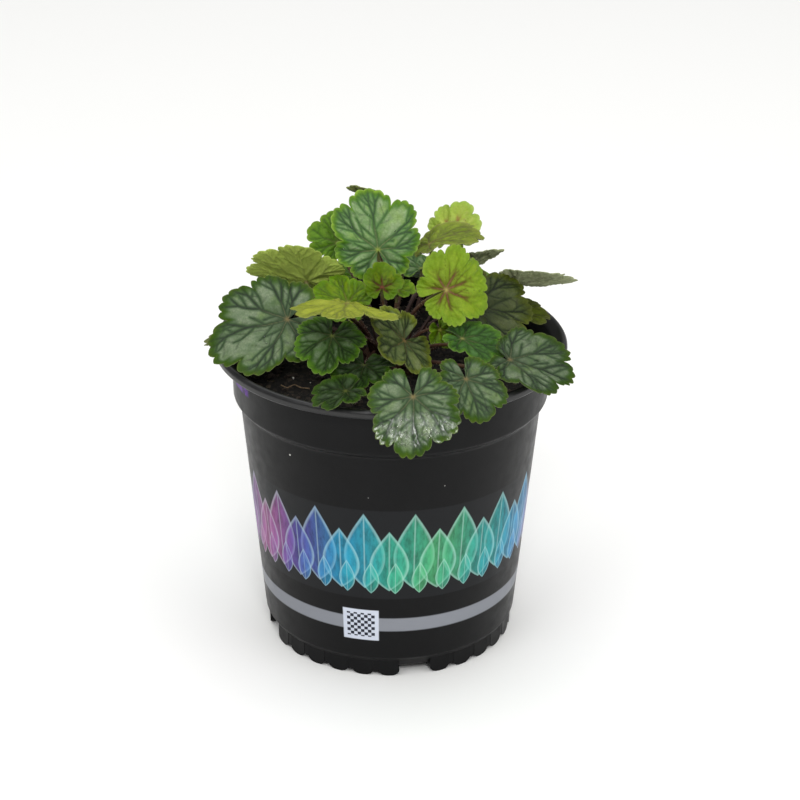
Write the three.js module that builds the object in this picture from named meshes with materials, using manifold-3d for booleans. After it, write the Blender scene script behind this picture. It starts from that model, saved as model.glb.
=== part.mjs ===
// Heuchera (coral bells) in a round nursery pot.
// Millimetres, +Z up. The pot's axis is the Z axis and its feet stand on z = 0.
// Angles round the pot are in degrees from the front (-Y), growing towards +X.

import * as THREE from 'three';
import { mergeVertices } from 'three/addons/utils/BufferGeometryUtils.js';
import Module from 'manifold-3d';

const wasm = await Module();
wasm.setup();

// ---- driving dimensions ----

const GAP = 0.3; // clearance between pieces that touch

const POT_HEIGHT = 144;
const RIM_RADIUS = 80;
const COLLAR_RADIUS = 72.2; // the straight collar under the rim
const COLLAR_BOTTOM = 119;
const LEDGE_BOTTOM = 116.3; // the body widens to the collar between here and COLLAR_BOTTOM
const LIP_BOTTOM = 140.6; // underside of the rolled rim
const BODY_TOP_RADIUS = 69.1; // top of the tapered body, under the collar
const BODY_FOOT_RADIUS = 58.7;
const WALL = 1.7;
const FLOOR_TOP = 5.6;
const FLOOR_BOTTOM = 4;
const POT_SIDES = 40; // the mix has as many

const FOOT_RADIUS = 56.6;
const FOOT_TOP = 9;
const TOOTH_COUNT = 30;
const TOOTH_WIDTH = 8.6;
const TOOTH_DEPTH = 4.4; // from the outer face inwards
const TOOTH_FLAT = 3.2; // flat end that a tooth stands on
const TOOTH_CHAMFER = 2.2; // height of its slanted flanks
const TOOTH_INSET = 1.4; // its outer face, in from FOOT_RADIUS
const TOOTH_ROOT = 0.8; // how far a tooth runs up into the floor
const DRAIN_COUNT = 4;
const DRAIN_TURN = 15; // the first drain arch; the others follow at each quarter turn
const DRAIN_WIDTH = 9.5;
const DRAIN_HEIGHT = 6.5;
const DRAIN_CORNER = 1.8;
const DRAIN_DEPTH = 12; // cut inwards through the foot

const SOIL_RIM_HEIGHT = 129;
const SOIL_CROWN_HEIGHT = 131;

const CROWN_RADIUS = 15.5;
const CROWN_BOTTOM = 118;
const CROWN_TOP = 143;
const CROWN_EDGE = 132; // height of the dome's edge, just proud of the mix
const CROWN_SIDES = 14;

const BLADE_THICKNESS = 0.7;
const PETIOLE_RADIUS = 1.1;
const PETIOLE_SIDES = 5;
const PETIOLE_STEPS = 5;
const PETIOLE_DEPTH = 7; // how deep a petiole stands in the crown
const PETIOLE_PLAY = 0.5; // clearance round a petiole in its hole

const TEETH_TO_LOBE = 3;
const SMALL_BLADE = 20; // blades narrower than this have 5 lobes, and the others 7
const HALF_SPAN = 163; // degrees from the midrib to the edge of the sinus
const HUB_OFFSET = 0.3; // how far the hub lies behind the middle of the blade, in half widths
const LOBE_DEPTH = 0.2;
const LOBE_SWAY = 0.028; // how unevenly the lobes are spaced, as a share of the half span
const LOBE_UNEVEN = 0.035; // how unevenly far they reach
const TOOTH_NOTCH = 0.05;
const PHASE_STEP = 0.37; // sets one leaf's unevenness off from the next one's
const INNER_RING = 0.55;
const WIDE_BLADE = 42; // blades this wide get a ring more
const WAVE = 1.2; // how far the blade rises in the valleys between lobes
const RUFFLE = 1; // slow wave round the margin
const FOLD = 6; // degrees that each half slopes up from the midrib
const DROOP = 10; // degrees that the midrib bends down by the tip

// ---- small helpers ----

const { clamp, degToRad: radians, lerp, radToDeg } = THREE.MathUtils;

// A direction in the ground plane, in degrees from the front.
function heading(turn) {
  return new THREE.Vector3(Math.sin(radians(turn)), -Math.cos(radians(turn)), 0);
}

// A closed mesh as a solid, with its shared corners merged.
function solidOf(geometry) {
  const bare = geometry.clone();
  bare.deleteAttribute('normal');
  bare.deleteAttribute('uv');
  const merged = mergeVertices(bare, 1e-4);
  return new wasm.Manifold(new wasm.Mesh({
    numProp: 3,
    vertProperties: new Float32Array(merged.attributes.position.array),
    triVerts: new Uint32Array(merged.index.array),
  }));
}

function geometryOf(solid) {
  const mesh = solid.getMesh();
  const geometry = new THREE.BufferGeometry();
  geometry.setAttribute('position', new THREE.BufferAttribute(new Float32Array(mesh.vertProperties), 3));
  geometry.setIndex(new THREE.BufferAttribute(new Uint32Array(mesh.triVerts), 1));
  geometry.computeVertexNormals();
  return geometry;
}

// A turned solid about the Z axis from a closed profile of [radius, height] points.
function turned(profile, sides) {
  const points = profile.map(([radius, height]) => new THREE.Vector2(radius, height));
  return new THREE.LatheGeometry(points, sides).rotateX(Math.PI / 2);
}

// A round bar swept along a curve, with closed ends.
function bar(curve, radius, sides, steps) {
  const section = new THREE.Shape();
  for (let k = 0; k < sides; k++) {
    const angle = (2 * Math.PI * k) / sides;
    const x = radius * Math.cos(angle);
    const y = radius * Math.sin(angle);
    if (k === 0) section.moveTo(x, y);
    else section.lineTo(x, y);
  }
  section.closePath();
  return new THREE.ExtrudeGeometry(section, { steps, bevelEnabled: false, extrudePath: curve });
}

// ---- the pot ----

// The outer radius of the tapered body at a height.
function bodyRadius(height) {
  const share = (height - FOOT_TOP) / (COLLAR_BOTTOM - FOOT_TOP);
  return lerp(BODY_FOOT_RADIUS, BODY_TOP_RADIUS, share);
}

function potShell() {
  const profile = [
    [0, FLOOR_BOTTOM],
    [FOOT_RADIUS - 1.6, FLOOR_BOTTOM],
    [FOOT_RADIUS + 1.2, FOOT_TOP],
    [bodyRadius(FOOT_TOP), FOOT_TOP + 1.2],
    [bodyRadius(LEDGE_BOTTOM), LEDGE_BOTTOM],
    [COLLAR_RADIUS - 0.4, COLLAR_BOTTOM],
    [COLLAR_RADIUS, LIP_BOTTOM - 2.2],
    [RIM_RADIUS - 0.8, LIP_BOTTOM - 1],
    [RIM_RADIUS, LIP_BOTTOM],
    [RIM_RADIUS, POT_HEIGHT - 1.3],
    [RIM_RADIUS - 1, POT_HEIGHT - 0.1],
    [RIM_RADIUS - 2.2, POT_HEIGHT],
    [RIM_RADIUS - 4.6, POT_HEIGHT - 2.3],
    [COLLAR_RADIUS - WALL, LIP_BOTTOM - 4.6],
    [COLLAR_RADIUS - 0.4 - WALL, COLLAR_BOTTOM + 0.6],
    [bodyRadius(LEDGE_BOTTOM) - WALL, LEDGE_BOTTOM],
    [bodyRadius(FOOT_TOP) - WALL, FLOOR_TOP + 2.2],
    [bodyRadius(FOOT_TOP) - WALL - 2.2, FLOOR_TOP],
    [0, FLOOR_TOP],
  ];
  return solidOf(turned(profile, POT_SIDES));
}

// One rounded tooth of the foot, pointing outwards at a turn.
function footTooth(turn) {
  const half = TOOTH_WIDTH / 2;
  const flat = TOOTH_FLAT / 2;
  const outline = new THREE.Shape();
  outline.moveTo(-flat, 0);
  outline.lineTo(flat, 0);
  outline.lineTo(half, TOOTH_CHAMFER);
  outline.lineTo(half, FLOOR_BOTTOM + TOOTH_ROOT);
  outline.lineTo(-half, FLOOR_BOTTOM + TOOTH_ROOT);
  outline.lineTo(-half, TOOTH_CHAMFER);
  outline.closePath();
  const tooth = new THREE.ExtrudeGeometry(outline, { depth: TOOTH_DEPTH, bevelEnabled: false });
  tooth.rotateX(Math.PI / 2);
  tooth.translate(0, -(FOOT_RADIUS - TOOTH_INSET - TOOTH_DEPTH), 0);
  return solidOf(tooth.rotateZ(radians(turn)));
}

// The arch that a drain hole leaves in the foot and the edge of the floor.
function drainArch(turn) {
  const half = DRAIN_WIDTH / 2;
  const outline = new THREE.Shape();
  outline.moveTo(-half, -1);
  outline.lineTo(half, -1);
  outline.lineTo(half, DRAIN_HEIGHT - DRAIN_CORNER);
  outline.lineTo(half - DRAIN_CORNER, DRAIN_HEIGHT);
  outline.lineTo(-half + DRAIN_CORNER, DRAIN_HEIGHT);
  outline.lineTo(-half, DRAIN_HEIGHT - DRAIN_CORNER);
  outline.closePath();
  const arch = new THREE.ExtrudeGeometry(outline, { depth: DRAIN_DEPTH, bevelEnabled: false });
  arch.rotateX(Math.PI / 2);
  arch.translate(0, -(FOOT_RADIUS + 3 - DRAIN_DEPTH), 0);
  return solidOf(arch.rotateZ(radians(turn)));
}

function pot() {
  let solid = potShell();
  const pitch = 360 / TOOTH_COUNT;
  const drainPitch = 360 / DRAIN_COUNT;
  for (let k = 0; k < TOOTH_COUNT; k++) {
    const past = THREE.MathUtils.euclideanModulo(k * pitch - DRAIN_TURN, drainPitch);
    const fromDrain = Math.min(past, drainPitch - past);
    if (fromDrain > pitch * 0.6) solid = solid.add(footTooth(k * pitch));
  }
  for (let k = 0; k < DRAIN_COUNT; k++) {
    solid = solid.subtract(drainArch(DRAIN_TURN + k * drainPitch));
  }
  return solid;
}

// ---- the blades ----

function lobeCount(leaf) {
  return leaf.width < SMALL_BLADE ? 5 : 7;
}

// Evenly spaced crests round the hub: 1 on a crest and 0 between two.
function crests(count, turn) {
  return Math.abs(Math.cos((count * Math.PI * turn) / 2));
}

// The angle from the midrib at a turn. turn runs from -1 to 1 round the hub, 0 at the tip.
function hubAngle(leaf, turn) {
  const sway = LOBE_SWAY * Math.sin(Math.PI * (2.3 * turn + leaf.phase)) * (1 - turn ** 2);
  return radians((turn + sway) * (leaf.span ?? HALF_SPAN));
}

// How far the margin lies from the hub at a turn.
function marginReach(leaf, turn) {
  const half = leaf.width / 2;
  const angle = hubAngle(leaf, turn);
  const offset = HUB_OFFSET * half;
  const round = offset * Math.cos(angle) + Math.sqrt(half ** 2 - (offset * Math.sin(angle)) ** 2);
  const lobe = 1 - LOBE_DEPTH * (1 - crests(lobeCount(leaf), turn) ** 0.5);
  const tooth = 1 - TOOTH_NOTCH * (1 - crests(lobeCount(leaf) * TEETH_TO_LOBE, turn) ** 0.6);
  const uneven = 1 + LOBE_UNEVEN * Math.sin(Math.PI * (3.7 * turn + 2 * leaf.phase));
  return round * lobe * tooth * uneven;
}

// An arc that sets out level and turns down evenly: how far it runs and sinks after a length.
function arc(length, turning) {
  return [Math.sin(turning * length) / turning, (1 - Math.cos(turning * length)) / turning];
}

// The blade's axes: tip along the midrib, up out of the upper face, side across.
function leafAxes(leaf) {
  const [turn, rise, roll] = leaf.aim;
  const tip = heading(turn).multiplyScalar(Math.cos(radians(rise)));
  tip.z = Math.sin(radians(rise));
  const up = new THREE.Vector3(0, 0, 1).addScaledVector(tip, -tip.z).normalize();
  up.applyAxisAngle(tip, radians(roll));
  const side = new THREE.Vector3().crossVectors(up, tip);
  return { tip, side, up };
}

// A point of the blade's middle surface: reach is 0 at the hub and 1 at the margin.
function bladePoint(leaf, axes, reach, turn) {
  const half = leaf.width / 2;
  const angle = hubAngle(leaf, turn);
  const margin = marginReach(leaf, turn);
  const stretch = Math.cos(angle) > 0 ? leaf.long ?? 1 : leaf.base ?? 1;
  const along = reach * margin * Math.cos(angle) * stretch;
  const across = reach * margin * Math.sin(angle);
  const crest = WAVE * reach * (1 - crests(lobeCount(leaf), turn));
  const ruffle = RUFFLE * reach ** 2 * Math.sin(2 * angle);
  const slope = radians(leaf.fold ?? FOLD);
  const height = Math.abs(across) * Math.sin(slope) + crest + ruffle;
  const bend = radians(leaf.droop ?? DROOP) / (half * (1 + HUB_OFFSET));
  const [forward, sunk] = arc(along, bend);
  const lean = bend * along;
  return leafPlace(leaf).clone()
    .addScaledVector(axes.tip, forward + height * Math.sin(lean))
    .addScaledVector(axes.side, across * Math.cos(slope))
    .addScaledVector(axes.up, height * Math.cos(lean) - sunk);
}

function leafPlace(leaf) {
  return new THREE.Vector3(...leaf.hub);
}

// The blade's upper normal at a point, from two short steps on its middle surface.
function bladeNormal(leaf, axes, reach, turn) {
  const near = clamp(reach, 0.08, 0.98);
  const step = 0.02;
  const centre = bladePoint(leaf, axes, near, turn);
  const outwards = bladePoint(leaf, axes, near + step, turn).sub(centre);
  const sideways = bladePoint(leaf, axes, near, turn + step).sub(bladePoint(leaf, axes, near, turn - step));
  return outwards.cross(sideways).normalize();
}

// The triangles of one face, between rings of points about the hub, and the loop of its edge.
function bladeNet(counts) {
  const starts = [];
  const points = [];
  counts.forEach(([reach, count]) => {
    starts.push(points.length);
    for (let k = 0; k <= count; k++) points.push([reach, count ? (2 * k) / count - 1 : 0]);
  });
  const faces = [];
  for (let ring = 1; ring < counts.length; ring++) {
    const inner = counts[ring - 1][1];
    const outer = counts[ring][1];
    let a = 0;
    let b = 0;
    while (a < inner || b < outer) {
      const first = starts[ring - 1] + a;
      const second = starts[ring] + b;
      const outerNext = a === inner || (b < outer && (b + 0.5) / outer < (a + 0.5) / inner);
      faces.push([first, second, outerNext ? second + 1 : first + 1]);
      if (outerNext) b += 1;
      else a += 1;
    }
  }
  const last = counts.length - 1;
  const edge = [0];
  for (let ring = 1; ring < last; ring++) edge.push(starts[ring]);
  for (let k = 0; k <= counts[last][1]; k++) edge.push(starts[last] + k);
  for (let ring = last - 1; ring > 0; ring--) edge.push(starts[ring] + counts[ring][1]);
  return { points, faces, edge };
}

// The closed blade: the same triangles on both faces, joined round the margin.
function bladeGeometry(leaf) {
  const axes = leafAxes(leaf);
  const lobes = lobeCount(leaf);
  const wide = leaf.width >= WIDE_BLADE;
  const rings = wide ? [[0.42, lobes], [0.74, lobes * 2]] : [[INNER_RING, lobes]];
  const net = bladeNet([[0, 0], ...rings, [1, lobes * TEETH_TO_LOBE * 2]]);
  const count = net.points.length;
  const positions = new Float32Array(count * 6);
  net.points.forEach(([reach, turn], index) => {
    const middle = bladePoint(leaf, axes, reach, turn);
    const offset = reach ? bladeNormal(leaf, axes, reach, turn) : axes.up.clone();
    offset.multiplyScalar(BLADE_THICKNESS / 2);
    middle.clone().add(offset).toArray(positions, index * 3);
    middle.clone().sub(offset).toArray(positions, (count + index) * 3);
  });
  const index = [];
  net.faces.forEach(([a, b, c]) => index.push(a, b, c, count + a, count + c, count + b));
  net.edge.forEach((from, place) => {
    const to = net.edge[(place + 1) % net.edge.length];
    index.push(count + from, count + to, to, count + from, to, from);
  });
  const geometry = new THREE.BufferGeometry();
  geometry.setAttribute('position', new THREE.BufferAttribute(positions, 3));
  geometry.setIndex(index);
  return geometry;
}

// ---- the petioles ----

// The petiole's curve, from inside the crown to the underside of the blade at its hub.
function petioleCurve(leaf, extra = 0) {
  const axes = leafAxes(leaf);
  const [radius, turn] = leaf.root;
  const surface = heading(turn).multiplyScalar(radius);
  const climb = surface.clone().divideScalar(CROWN_RADIUS);
  climb.z = 1;
  surface.z = crownHeight(radius);
  const start = surface.clone();
  start.z -= PETIOLE_DEPTH + extra;
  const end = leafPlace(leaf).addScaledVector(axes.tip, 0.8).addScaledVector(axes.up, -0.1);
  const arrive = axes.up.clone().multiplyScalar(0.75);
  arrive.addScaledVector(axes.tip, leaf.arrive ?? 0.5).normalize();
  const length = surface.distanceTo(end);
  const rise = surface.clone().addScaledVector(climb, leaf.rise ?? length * 0.38);
  const approach = end.clone().addScaledVector(arrive, -length * 0.3);
  return new THREE.CubicBezierCurve3(start, rise, approach, end);
}

function petiole(leaf, radius, extra = 0) {
  return solidOf(bar(petioleCurve(leaf, extra), radius, PETIOLE_SIDES, PETIOLE_STEPS));
}

// ---- potting mix and crown ----

function crownHeight(radius) {
  const share = clamp(radius / CROWN_RADIUS, 0, 1);
  return lerp(CROWN_TOP, CROWN_EDGE, share ** 2.4);
}

// The woody crown: a low dome of old leaf bases, sunk in the mix.
function crownShape(radius, bottom) {
  const profile = [[0, bottom], [radius * 0.8, bottom], [radius, bottom + 6]];
  for (const share of [1, 0.85, 0.5]) profile.push([radius * share, crownHeight(CROWN_RADIUS * share)]);
  profile.push([0, CROWN_TOP]);
  return turned(profile, CROWN_SIDES);
}

function soilHeight(radius, turn) {
  const share = radius / COLLAR_RADIUS;
  const mound = lerp(SOIL_CROWN_HEIGHT, SOIL_RIM_HEIGHT, share);
  return mound + 0.9 * Math.sin(radians(3 * turn + 20)) * share + 0.5 * Math.sin(radians(7 * turn)) * share;
}

// Potting mix that fills the pot, with a low uneven mound and a hole for the crown.
function pottingMix() {
  const inset = WALL + GAP;
  const brim = COLLAR_RADIUS - 0.2 - inset;
  const profile = [
    [0, FLOOR_TOP + GAP],
    [bodyRadius(FOOT_TOP) - inset - 2.6, FLOOR_TOP + GAP],
    [bodyRadius(FOOT_TOP) - inset, FLOOR_TOP + 2.7],
    [bodyRadius(LEDGE_BOTTOM) - inset, LEDGE_BOTTOM + GAP],
    [brim - 0.4, COLLAR_BOTTOM + 1.2],
    [brim - 0.2, SOIL_RIM_HEIGHT - 1],
    [brim * 0.72, SOIL_RIM_HEIGHT],
    [brim * 0.45, SOIL_RIM_HEIGHT],
    [0, SOIL_CROWN_HEIGHT],
  ];
  const geometry = turned(profile, POT_SIDES);
  const place = geometry.attributes.position;
  for (let k = 0; k < place.count; k++) {
    const radius = Math.hypot(place.getX(k), place.getY(k));
    const turn = radToDeg(Math.atan2(place.getX(k), -place.getY(k)));
    if (place.getZ(k) > COLLAR_BOTTOM + 2 && radius > 1) place.setZ(k, soilHeight(radius, turn));
  }
  return solidOf(geometry).subtract(solidOf(crownShape(CROWN_RADIUS + GAP, CROWN_BOTTOM - GAP)));
}

// ---- the leaves, each placed by hand ----
// hub: where the petiole meets the blade. aim: heading and rise of the midrib, and the blade's roll
// about it, in degrees. long, base: stretch of the blade before and behind the hub. span, fold, droop:
// as HALF_SPAN, FOLD and DROOP. root: radius and heading on the crown. rise: how far the petiole's bend
// near the crown reaches up. arrive: how far it leans towards the tip as it meets the blade.

const LEAVES = [
  // the front, from the left round to the right
  { hub: [-45.5, -24.8, 162.8], aim: [-72, -15, -36], width: 49, long: 1.2, droop: 13,
    root: [11, 290] },
  { hub: [-25.5, -34, 159], aim: [-16, -23, -5], width: 33, droop: 14, root: [7, 325] },
  { hub: [-18.7, -74, 150.8], aim: [-71, -12, -8], width: 25, root: [11, 336], rise: 6, arrive: 0.1 },
  { hub: [-11.5, -37.8, 146.7], aim: [-10, -12, 0], width: 30, long: 0.9, root: [11, 312], rise: 4 },
  { hub: [9.8, -79, 150.8], aim: [5, -50, 2], width: 41, droop: 18,
    root: [10, 0], rise: 3.5, arrive: 0 },
  { hub: [32.3, -65.6, 153], aim: [28, -41, 0], width: 33, droop: 12,
    root: [10.5, 24], rise: 3, arrive: 0 },
  { hub: [5.9, -27, 153.9], aim: [-28, 2, -46], width: 37, long: 0.95, base: 1.25, droop: -10,
    root: [7, 10] },
  { hub: [31.5, -28, 155.3], aim: [76, -11, 11], width: 27, long: 1.2, root: [11, 58] },
  { hub: [52, -41, 151], aim: [80, -11, 15], width: 42, long: 1.1, base: 0.6, fold: 12, droop: 14,
    root: [11, 40], rise: 6 },
  // the middle
  { hub: [-18.9, -39, 176.5], aim: [0, 17, -5], width: 50, fold: -10, root: [7, 292], arrive: 0.8 },
  { hub: [-19.4, -3, 161.5], aim: [-111, 17, -25], width: 29, root: [7, 262] },
  { hub: [-4, -4, 169.7], aim: [170, 49, 12], width: 19, root: [3, 0] },
  { hub: [24.3, -18, 174.5], aim: [112, 16, 61], width: 37, span: 174, fold: 2, droop: 50,
    root: [3, 70] },
  { hub: [36, 2, 158.6], aim: [97, -7, 29], width: 42, long: 1.15, droop: 16, root: [11, 94] },
  { hub: [22, -6, 150.2], aim: [56, -54, 31], width: 14, root: [7, 95] },
  { hub: [3, 6, 164.5], aim: [85, 5, 10], width: 13, root: [3, 140] },
  // the tall ones behind
  { hub: [-6.1, 15, 180.3], aim: [-162, 58, -14], width: 42, long: 1.1, droop: 12, root: [3, 220] },
  { hub: [28.4, 50, 174.5], aim: [145, 49, 9], width: 26.5, root: [7, 160] },
  { hub: [17.5, 26, 178.9], aim: [94, 31, 0], width: 26, long: 1.6, droop: 35, root: [7, 125] },
  { hub: [-38.5, 21.5, 162.7], aim: [-67, 36, 39], width: 48, root: [11, 250] },
  { hub: [-25, 38, 174.5], aim: [-157, 40, -23], width: 27, root: [7, 222] },
  { hub: [57.2, 23.5, 161.3], aim: [88, -4, -38], width: 28, long: 1.63, fold: 10, droop: -8,
    root: [11, 112] },
  { hub: [38, 38, 165.6], aim: [75, 32, -32], width: 24, root: [11, 132] },
  { hub: [57, 18, 149], aim: [95, -8, 0], width: 26, root: [11, 76], rise: 7 },
  { hub: [-7.6, 44, 194.3], aim: [-80, 29, 18], width: 24, root: [7, 190] },
  // the far side, hanging over the rim
  { hub: [5, 66, 150.5], aim: [178, -4, 0], width: 42, droop: 30, root: [11, 180], rise: 7 },
  { hub: [-32, 57, 150.5], aim: [-150, -6, 0], width: 38, droop: 26, root: [11, 214], rise: 7 },
  { hub: [40, 54, 149.5], aim: [145, -5, 0], width: 36, droop: 26, root: [11, 147], rise: 7 },
  { hub: [-53.5, -2, 146.5], aim: [-78, -2, 0], width: 34, long: 1.4, droop: 5,
    root: [11, 270], rise: 7 },
  { hub: [-54, 37, 148.5], aim: [-118, -3, 0], width: 37, droop: 24, root: [11, 232], rise: 7 },
  { hub: [-16, 38, 158], aim: [-170, 4, 0], width: 34, droop: 20, root: [11, 197] },
  { hub: [14, 47, 158.5], aim: [168, 6, 0], width: 26, droop: 14, root: [11, 163] },
];

// ---- assembly ----

const FINISHES = {
  pot: { color: 0x1e1e1f, roughness: 0.38, metalness: 0 },
  mix: { color: 0x1d1713, roughness: 0.95, metalness: 0 },
  crown: { color: 0x4a3023, roughness: 0.85, metalness: 0 },
  leaf: { color: 0x4c7a3a, roughness: 0.5, metalness: 0 },
};

const plant = new THREE.Group();
plant.name = 'heuchera_in_pot';

function place(name, solid, finish) {
  const mesh = new THREE.Mesh(geometryOf(solid), new THREE.MeshStandardMaterial(FINISHES[finish]));
  mesh.name = name;
  plant.add(mesh);
}

let crown = solidOf(crownShape(CROWN_RADIUS, CROWN_BOTTOM));
place('pot', pot(), 'pot');
place('potting_mix', pottingMix(), 'mix');
LEAVES.forEach((leaf, index) => {
  const name = `leaf_${String(index + 1).padStart(2, '0')}`;
  leaf.phase = index * PHASE_STEP;
  place(name, solidOf(bladeGeometry(leaf)).add(petiole(leaf, PETIOLE_RADIUS)), 'leaf');
  crown = crown.subtract(petiole(leaf, PETIOLE_RADIUS + PETIOLE_PLAY, GAP));
});
place('crown', crown, 'crown');

export default plant;
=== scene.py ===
"""Heuchera (coral bells) in a round nursery pot. Metres, +Z up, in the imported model's frame.

Sizes in the tables are millimetres. Angles round the pot are degrees from the front (-Y), growing
towards +X.
"""

import math
import random
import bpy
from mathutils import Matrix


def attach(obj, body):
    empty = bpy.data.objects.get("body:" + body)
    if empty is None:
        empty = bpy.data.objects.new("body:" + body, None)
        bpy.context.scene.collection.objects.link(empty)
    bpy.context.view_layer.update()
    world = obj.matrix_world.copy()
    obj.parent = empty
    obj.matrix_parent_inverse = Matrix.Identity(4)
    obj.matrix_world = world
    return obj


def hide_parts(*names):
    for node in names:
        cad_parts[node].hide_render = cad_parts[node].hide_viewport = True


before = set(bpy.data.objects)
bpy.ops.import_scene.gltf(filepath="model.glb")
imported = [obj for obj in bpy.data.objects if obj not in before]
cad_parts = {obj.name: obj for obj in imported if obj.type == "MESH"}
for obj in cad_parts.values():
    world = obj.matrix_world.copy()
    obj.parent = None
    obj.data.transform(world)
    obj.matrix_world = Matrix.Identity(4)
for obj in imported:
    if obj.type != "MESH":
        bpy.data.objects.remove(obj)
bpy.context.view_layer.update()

from types import SimpleNamespace

import bpy
import numpy as np
from mathutils import Matrix, Vector, kdtree, noise

MM = 0.001

# ---- the pot, in millimetres ----

POT_HEIGHT = 144
RIM_RADIUS = 80
COLLAR_RADIUS = 72.2
COLLAR_BOTTOM = 119
LEDGE_BOTTOM = 116.3
LIP_BOTTOM = 140.6
BODY_TOP_RADIUS = 69.1
BODY_FOOT_RADIUS = 58.7
WALL = 1.7
FLOOR_TOP = 5.6
FLOOR_BOTTOM = 4
FOOT_RADIUS = 56.6
FOOT_TOP = 9
POT_SIDES = 240
SHARP_ANGLE = 35  # degrees between faces from which an edge of the pot is left sharp

# teeth round the foot, with low webs between them, and drain arches cut through it
TOOTH_COUNT = 30
TOOTH_HALF_WIDTH = 4.7
TOOTH_ROUND = 2.6  # height of the round lower end
TOOTH_TOP = 8.4
TOOTH_RADII = (50.9, 57.1)
WEB_HALF_WIDTH = 2.4
WEB_BOTTOM = 2.2
WEB_RADII = (50.9, 57.15)
DRAIN_COUNT = 4
DRAIN_TURN = 15
DRAIN_HALF_WIDTH = 4.75
DRAIN_TOP = 6.5
DRAIN_CORNER = 1.8
DRAIN_RADII = (47.6, 62)

# ---- the potting mix and the crown, in millimetres ----

SOIL_RIM_HEIGHT = 129
SOIL_CROWN_HEIGHT = 131
MIX_SIDES = 300
MIX_STEP = 0.9  # between the rings of its surface
MIX_INSET = WALL + 0.3
CROWN_RADIUS = 15.5
CROWN_TOP = 143
CROWN_EDGE = 132
CROWN_FOOT = 118
CROWN_SIDES = 90
CROWN_STEP = 0.6
CROWN_SHOULDER = 124  # where its side, sunk in the mix, starts to narrow
MOUND_WAVES = (0.9, 0.5)  # heights of three slow and seven quick waves round the mix
CRUMB_HEIGHT = 0.9
CRUMBS_PER_MM = 0.28
LUMP_HEIGHT = 1.3
LUMPS_PER_MM = 0.55
KNOB_HEIGHT = 1.6
KNOBS_PER_MM = 0.45
STREWN_RADII = (18, 68)  # between which chips and grains lie
# a loose root on the mix: x, y and how far it lifts off, along its course
STRAND = [(-49, -22, 0), (-46, -25, 0.3), (-43, -22.5, 1.2), (-40, -25.5, 0.6), (-36, -26, 0)]
STRAND_RADIUS = 0.28
STRAND_SEAT = 0.35  # its middle over the mix

# ---- the leaves, in millimetres and degrees ----

SMALL_BLADE = 20  # narrower blades have 5 lobes, and the others 7
FULL_BLADE = 30  # narrower blades have 3 teeth to a lobe, and the others 5
GROWN_WIDTH = 45  # a blade on which veins and swellings have their full size
HUB_OFFSET = 0.3  # how far the hub lies behind the middle of the blade, in half widths
LOBE_DEPTH = 0.2  # of the notches between lobes, as a share of the way out
LOBE_SWAY = 0.028  # how unevenly the lobes are spaced, as a share of the half span
LOBE_UNEVEN = 0.035  # how unevenly far they reach
TOOTH_NOTCH = 0.05  # and of those between teeth
NOTCH_UNEVEN = 0.35  # how unevenly deep the notches are
PHASE_STEP = 0.37  # sets one leaf's unevenness off from the next one's
WAVE = 1.2  # how far the blade rises in the valleys between lobes
RUFFLE = 1  # slow wave round the margin
BLADE_STEP = 0.48  # mesh spacing on a blade
BLADE_THICKNESS = 0.5
EDGE_THICKNESS = 0.22
EDGE_DEPTH = 2.5  # how far in from the margin the blade thins

# Veins by order: main, side and small ones. Lengths are shares of the blade's half width.
VEIN_STEP = 0.3  # millimetres that a vein is walked at a time
FIRST_BRANCH = (0.2, 0.16, math.inf)  # small veins have no branches
NEXT_BRANCH = (0.17, 0.14)
BRANCH_LENGTH = (0.58, 0.3)
BRANCH_ANGLE = (38, 60)
BRANCHES_FROM = 0.16  # share of the way out from which veins branch
FIRST_VARIES = (0.8, 1.3)  # what those lengths are multiplied by, at random
NEXT_VARIES = (0.7, 1.4)
LENGTH_VARIES = (0.7, 1.2)
VEIN_STRAY = (0.62, 0.56, 0.6)  # how far it may leave the middle of its lobe, in lobes
VEIN_PULL = (0.022, 0.02, 0.01)  # how much each step turns it back to run straight out
VEIN_WOBBLE = 0.035  # radians at each step
VEIN_END = 0.97  # share of the way out at which it ends
FORKS_AT = ((0.38, 0.55), (0.72, 0.84))  # shares of the way out at which a main vein forks
FORK_SPREAD = (0.3, 0.4)  # radians to each side of the old course
FORK_SPLIT = (0.35, 0.65)  # how unevenly that is shared
MAIN_WIDTH = (1.1, 0.5)  # millimetres at the hub, and how much less at the margin
SIDE_WIDTH = (0.66, 0.26)
SMALL_WIDTH = 0.36

# the other marks on a blade, in millimetres unless said otherwise
RIM_DEPTH = (3.7, 2.6)  # and how far it wanders
TOOTH_BAND = 1.5
MARGIN_BAND = 0.26
HUB_SPOT = 1.1
RIB_WIDTH = 0.22
CORE_WIDTH = 0.26  # of the dark centre, in half widths
PANEL_EDGE = (0.05, 1.25)  # how far from the veins a silvered panel starts, and where it is whole
WET_FROM = (0.22, 0.55)  # the wet film's soft ends, in half widths before the hub
WET_TO = (0.95, 1.1)
STAR_END = (0.34, 0.72)  # where the veins of a starred leaf lose their colour, as shares of the way out

# the relief of a blade
SWELL_HEIGHT = 0.45
SWELL_WIDTH = 1.9
GROOVES = (0.3, 0.2, 0.1)  # depths over the main, side and small veins
RIDGES = (0.35, 0.15)  # heights under the main and side veins
SLOW_WAVES = 0.6

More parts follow.
